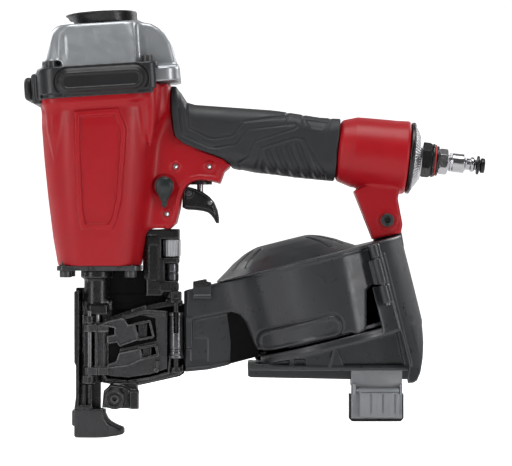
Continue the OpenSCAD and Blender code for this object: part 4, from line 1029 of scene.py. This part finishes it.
def inlet_cap():
    c, u, h, around = inlet_space(7, 29.5, 22.9, 0.45)
    edge = across([(20, 22.4), (23.4, 22.6), (24.2, 21.6), (24.5, 19.2), (28.6, 11.6), (40, 11)], u)
    body = slab((around - edge) * 0.9, u, 21.3, 28.6, 0.7)
    body = join(body, slab(around - 16.6, u, 7, 22, 0.6), 0.4)
    body = cut(body, slab(around - 14, u, 0, 24, 0.5), 0.4)
    body = cut(body, slab(around - 6.2, u, 0, 40), 0.3)
    casting("inlet_cap", c, body, "black_plastic", "end_cap")
    c, u, h, around = inlet_space(23.6, 29.9, 21.2, 0.3)
    turn = np.arctan2(h, c.y)
    cone = across([(23, 20.9), (24.4, 20.8), (28.8, 13.4), (30, 13)], u)
    teeth = 0.55 * smooth_step(np.cos(turn * 60), -0.4, 0.4) * smooth_step(around, 14.5, 15.5)
    ring = slab((around - cone + teeth) * 0.8, u, 23.9, 29.4, 0.3)
    ring = cut(ring, around - 10.4, 0.3)
    casting("inlet_ring", c, ring, "chrome_plate", "end_cap_ring")
    c, u, h, around = inlet_space(26, 36.4, 11.4, 0.28)
    nut = slab(hexagon(c.y, h, 9.6), u, 28.8, 35.9, 0.4)
    nut = bevelled(nut, around, 10.1, u, 28.8, 35.9)
    nut = join(nut, slab(around - 8.4, u, 26.4, 29.2, 0.4), 0.4)
    nut = cut(nut, around - 4.6, 0.3)
    casting("inlet_bushing", c, nut, "black_steel", "reducer_bushing")
    c, u, h, around = inlet_space(35.8, 40.6, 11.1, 0.25)
    washer = slab(around - 10.6, u, 36.1, 37.4, 0.4)
    washer = join(washer, slab(around - 9.4, u, 38.5, 40.2, 0.5), 0.2)
    washer = join(washer, slab(around - 8.2, u, 37, 39, 0.1), 0.2)
    washer = cut(washer, around - 4.4, 0.3)
    casting("inlet_washer", c, washer, "black_steel", "sealing_washer")
    c, u, h, around = inlet_space(37.3, 38.7, 10.5, 0.22)
    seal = cut(slab(around - 10.2, u, 37.5, 38.45, 0.4), around - 8.25, 0.1)
    casting("inlet_seal", c, seal, "seal_red", body="housing")
    c, u, h, around = inlet_space(39.8, 64.6, 8.2, 0.26)
    plug = slab(hexagon(c.y, h, 7.1), u, 40.3, 46.3, 0.4)
    plug = bevelled(plug, around, 7.5, u, 40.3, 46.3)
    stem = across([(40, 5.4), (47.2, 5.4), (47.6, 6.0), (56.4, 6.0), (57.6, 3.7), (60.2, 3.6), (60.8, 4.7),
        (62.4, 4.7), (63.2, 3.3), (66, 3.2)], u)
    plug = join(plug, slab((around - stem) * 0.8, u, 40.3, 64.2, 0.4), 0.4)
    plug = plug + 0.3 * ridge(u - 48.6, 0.35)
    plug = cut(plug, slab(around - 2.2, u, 44, 80, 0.1), 0.4)
    casting("plug", c, plug, "chrome_plate", "air_plug")


def thimble():
    c, u, _, around = inlet_space(57.6, 70, 6.1, 0.25)
    cap = slab(around - 5.9, u, 64.5, 66.1, 0.5)
    cap = join(cap, slab(around - 3.4, u, 65, 67.2, 0.3), 0.4)
    cap = join(cap, slab(around - 4.7, u, 66.9, 69.6, 0.7), 0.4)
    cap = join(cap, slab(around - 1.9, u, 58, 66, 0.3), 0.2)
    casting("thimble", c, cap, "black_plastic", "dust_cap")


STEPS_PER_TURN = 28
FLAT_TURNS = 0.8  # wound flat at each end


def spring(node, centre, radius, wire, turns, axis="Z"):
    """A round-wire coil over the CAD spring's own length."""
    a, b = low(node), high(node)
    k = "XYZ".index(axis)
    start, end = a[k] + wire, b[k] - wire
    steps, sides = int(turns * STEPS_PER_TURN), 10
    points, normals = [], []
    for i in range(steps + 1):
        t = i / steps
        angle = 2 * math.pi * turns * t
        flat = min(1, max(0, (t * turns - FLAT_TURNS) / (turns - 2 * FLAT_TURNS)))
        along = start + (end - start) * flat
        for j in range(sides):
            s = 2 * math.pi * j / sides
            r = radius + wire * math.cos(s)
            p = (r * math.cos(angle), r * math.sin(angle), along + wire * math.sin(s))
            n = (math.cos(s) * math.cos(angle), math.cos(s) * math.sin(angle), math.sin(s))
            if axis == "X":
                p, n = (p[2], centre[0] + p[0], centre[1] + p[1]), (n[2], n[0], n[1])
            else:
                p = (centre[0] + p[0], centre[1] + p[1], p[2])
            points.append(p)
            normals.append(n)
    faces = [(i * sides + j, i * sides + (j + 1) % sides, (i + 1) * sides + (j + 1) % sides, (i + 1) * sides + j)
        for i in range(steps) for j in range(sides)]
    faces += [tuple(range(sides))[::-1], tuple(steps * sides + j for j in range(sides))]
    obj = add_mesh("coil_" + node, [[v * MM for v in p] for p in points], faces, MATERIALS["steel"], normals)
    place(obj, BODY_OF[node], [node])


def window_shade():
    """Painted shade: a near-black plate seen through the cover's cut-out, standing for the dark inside of the
    canister there.
    """
    c = Clay((81, -6.9, 45), (104, -5.4, 80.5), 0.4)
    body = c.plate("y", [(82, 46.4), (96, 49.8), (102.6, 52.4), (102.6, 58), (98.5, 66), (96, 76), (90, 79.6),
        (82, 79.6)], -6.6, -5.7, 0.3)
    casting("window_shade", c, body, "painted_shade_black", body="magazine_cover", slot="black_rubber")


def feed_housing():
    """The feed piston's round cylinder, with its flange, ribs and end plug."""
    c = Clay((24.8, 5.8, 52.8), (52.2, 27.2, 73.2), 0.36)
    around = np.hypot(c.y - FEED[0], c.z - FEED[1])
    body = slab(around - 9.0, c.x, 25.2, 51.8, 1.2)
    body = join(body, c.block("x", 6.2, 13, 55, 71, 1.5, 25.2, 51.8, 1.0), 2.0)
    body = join(body, c.block("x", 6.2, 26.8, 53.2, 72.8, 3, 25.1, 29, 0.7), 1.2)
    for x in (33, 37.5, 42):
        body = join(body, slab(around - 9.8, c.x, x - 0.6, x + 0.6, 0.3), 0.6)
    body = join(body, slab(around - 10.0, c.x, 46.4, 51.8, 1.0), 0.6)
    body = cut(body, slab(hexagon(c.y - 17, c.z - 63, 3.2), c.x, 49.9, 60, 0.1), 0.3)
    for y in (9, 24):
        for z in (56, 70):
            body = join(body, c.rod("x", (y, z), 1.8, 28, 30.8, 0.5), 0.3)
            body = cut(body, slab(hexagon(c.y - y, c.z - z, 0.9), c.x, 29.8, 40, 0.1), 0.2)
    body = cut(body, slab(around - 7.02, c.x, 10, 49, 0.1), 0.2)
    casting("feed_housing", c, body, "black_steel", "feed_cylinder")


def cover_catch():
    c = Clay((60.2, -13, 86.6), (72.9, -9.2, 100.4), 0.28)
    button = c.plate("y", [(60.8, 94.8), (69.4, 95.4), (69.4, 99.5), (68.5, 99.7), (60.8, 98.2)], -12.3, -9.6, 0.6)
    for x in (62.8, 65.1, 67.4):
        button = cut(button, slab(np.abs(c.x - x) - 0.3, c.y, -14, -11.9, 0.1), 0.2)
    button = join(button, c.plate("y", [(68.5, 95.2), (72.2, 95.7), (72.2, 97.7), (68.5, 98.5)], -11.6, -9.6, 0.4),
        0.3)
    plate = c.block("y", 60.8, 72.2, 88.6, 95.8, 1, -11.2, -9.5, 0.6)
    plate = join(plate, c.rod("x", (-11, 88.5), 1.5, 60.8, 72.2, 0.4), 0.8)
    casting("latch_plate", c, plate, "magazine_grey", body="cover_latch")
    casting("latch_button", c, button, "black_plastic", "cover_latch")


def guide_plate():
    """The shingle guide's lever: a ribbed plate on its pin."""
    c = Clay((160.8, -9.9, 12.8), (192.2, -5.1, 31.9), 0.3)
    plate = c.block("y", 165.1, 189.9, 13.1, 30.4, 0.8, -8.4, -5.4, 0.5)
    ribs = c.block("y", 165.3, 189.7, 13.3, 28.6, 1.0, -9.7 + 0.05 * np.cos(c.x * 0.84), -6, 0.5)
    for x in (172.2, 179.6, 187.3):
        ends = smooth_step(c.z, 14.6, 17) * (1 - smooth_step(c.z, 26.6, 28.8))
        ribs = ribs + 1.1 * ends * ridge(c.x - x, 0.5)
        ribs = ribs - 0.25 * ends * ridge(c.x - x + 2.6, 0.7)
    plate = join(plate, ribs, 0.5)
    pin = c.rod("x", GUIDE_PIN, 1.15, 161.1, 191.9, 0.3)
    barrel = c.rod("x", GUIDE_PIN, 1.7, 165.1, 189.9, 0.3)
    casting("guide_plate", c, join(join(plate, barrel, 0.8), pin, 0.3), "guide_grey", "guide_lever")

# ------------------------------------------------------- machined small parts

EDGE_WIDTH = 0.35 * MM
WELD = 2e-6  # metres
SHARP_ANGLE, FLAT_ANGLE = math.radians(32), math.radians(3)


def refined(node, look):
    """The CAD piece with its hard edges broken, as a machined or moulded part has them."""
    source = frame["nodes"][node]
    bm = bmesh.new()
    bm.from_mesh(source.data)
    bm.transform(source.matrix_world)
    bmesh.ops.remove_doubles(bm, verts=bm.verts, dist=WELD)
    bmesh.ops.dissolve_limit(bm, angle_limit=FLAT_ANGLE, verts=bm.verts, edges=bm.edges)
    mesh = bpy.data.meshes.new("fine_" + node)
    bm.to_mesh(mesh)
    bm.free()
    mesh.materials.clear()
    mesh.materials.append(MATERIALS[look])
    mesh.polygons.foreach_set("use_smooth", [True] * len(mesh.polygons))
    mesh.set_sharp_from_angle(angle=SHARP_ANGLE)
    obj = put("fine_" + node, mesh)
    bevel = obj.modifiers.new("edges", "BEVEL")
    bevel.width = EDGE_WIDTH
    bevel.segments = 2
    bevel.limit_method = "ANGLE"
    bevel.angle_limit = SHARP_ANGLE
    bevel.use_clamp_overlap = True
    bevel.harden_normals = True
    place(obj, BODY_OF[node], [node])


# ----------------------------------------------------------- light and camera

CAMERA_DISTANCE = 1.6
FIELD_WIDTH = 0.3226  # metres across the picture at the tool


def studio():
    """A plain pale sweep, soft boxes and a long lens square to the tool's left side."""
    sweep = bpy.data.meshes.new("sweep")
    profile = [(-6.0, 0.0), (1.6, 0.0)] + [(1.6 + 1.2 * math.sin(t), 1.2 - 1.2 * math.cos(t))
        for t in np.linspace(0.1, math.pi / 2, 14)] + [(2.8, 6.0)]
    points = [(x, y, z) for y, z in profile for x in (-8.0, 8.0)]
    faces = [(2 * i, 2 * i + 1, 2 * i + 3, 2 * i + 2) for i in range(len(profile) - 1)]
    sweep.from_pydata(points, [], faces)
    sweep.polygons.foreach_set("use_smooth", [True] * len(sweep.polygons))
    floor = put("sweep", sweep)
    floor.location.z = -0.001
    pale = bpy.data.materials.new("pale")
    pale.use_nodes = True
    # The sweep glows for the camera, so that the background is white, but hardly lights the tool
    to_camera = add_node(pale.node_tree, "ShaderNodeLightPath").outputs["Is Camera Ray"]
    glow = add_node(pale.node_tree, "ShaderNodeMapRange", To_Min=0.12, To_Max=0.95, Value=to_camera)
    fill(pale.node_tree, pale.node_tree.nodes["Principled BSDF"], Base_Color=(0.9, 0.9, 0.9, 1), Roughness=0.9,
         Emission_Color=(1, 1, 1, 1), Emission_Strength=glow.outputs["Result"])
    sweep.materials.append(pale)
    world = bpy.data.worlds.new("studio")
    world.use_nodes = True
    fill(world.node_tree, world.node_tree.nodes["Background"], Color=(1, 1, 1, 1), Strength=0.11)
    bpy.context.scene.world = world
    middle = Vector((0.1, 0, 0.13))
    boxes = [("key", (-0.95, -1.0, 0.45), 0.3, 1.2, 6.5), ("fill", (1.35, -1.1, 0.32), 0.3, 1.0, 8.0),
        ("top", (0.1, -0.25, 1.25), 0.7, 0.7, 8.0), ("rim", (-0.9, 0.7, 0.7), 0.8, 0.8, 9),
        ("back", (1.0, 0.9, 0.8), 0.8, 0.8, 8)]
    for name, where, wide, tall, power in boxes:
        light = bpy.data.lights.new(name, "AREA")
        light.shape = "RECTANGLE"
        light.size, light.size_y = wide, tall
        light.energy = power
        obj = put(name, light)
        obj.location = where
        obj.rotation_euler = (middle - Vector(where)).to_track_quat("-Z", "Y").to_euler()
    lens = bpy.data.cameras.new("camera")
    lens.sensor_width = 36.0
    lens.lens = lens.sensor_width * CAMERA_DISTANCE / FIELD_WIDTH
    lens.clip_end = 30
    camera = put("camera", lens)
    camera.location = (0.1002, -CAMERA_DISTANCE, 0.1285)
    camera.rotation_euler = (math.pi / 2, 0, 0)
    bpy.context.scene.camera = camera
    bpy.context.scene.view_settings.view_transform = "Standard"


for build in (studio, red_housing, rubber_grip, silver_cap, head_guard, rubber_pads, front_rubber_pad, deflector,
              magazine_door, magazine_dome, magazine_body, nose_casting, swinging_door, door_catch, catch_post, foot,
              sliding_arm, arm_bracket, finger_trigger, selector_knob, inlet_cap, thimble, window_shade, guide_plate,
              feed_housing, cover_catch, nail_plate):
    build()
spring("head_valve_spring", (0, 0), 18.1, 0.8, 5)
spring("valve_spring", VALVE, 3.5, 0.4, 5)
spring("contact_spring", DEPTH_ROD, 2.9, 0.5, 6)
spring("feed_spring", FEED, 5.1, 0.5, 6, "X")
DARK_PINS = ("door_hinge_pin", "magazine_hinge_pin", "trigger_pin")
for name in frame["nodes"]:
    if name not in MADE:
        refined(name, "dark_steel" if name in DARK_PINS else SLOT_OF[name])
# The CAD nodes keep their slot's look wherever they are shown
for name, node in frame["nodes"].items():
    for part in node.material_slots:
        part.material = MATERIALS[SLOT_OF[name]]
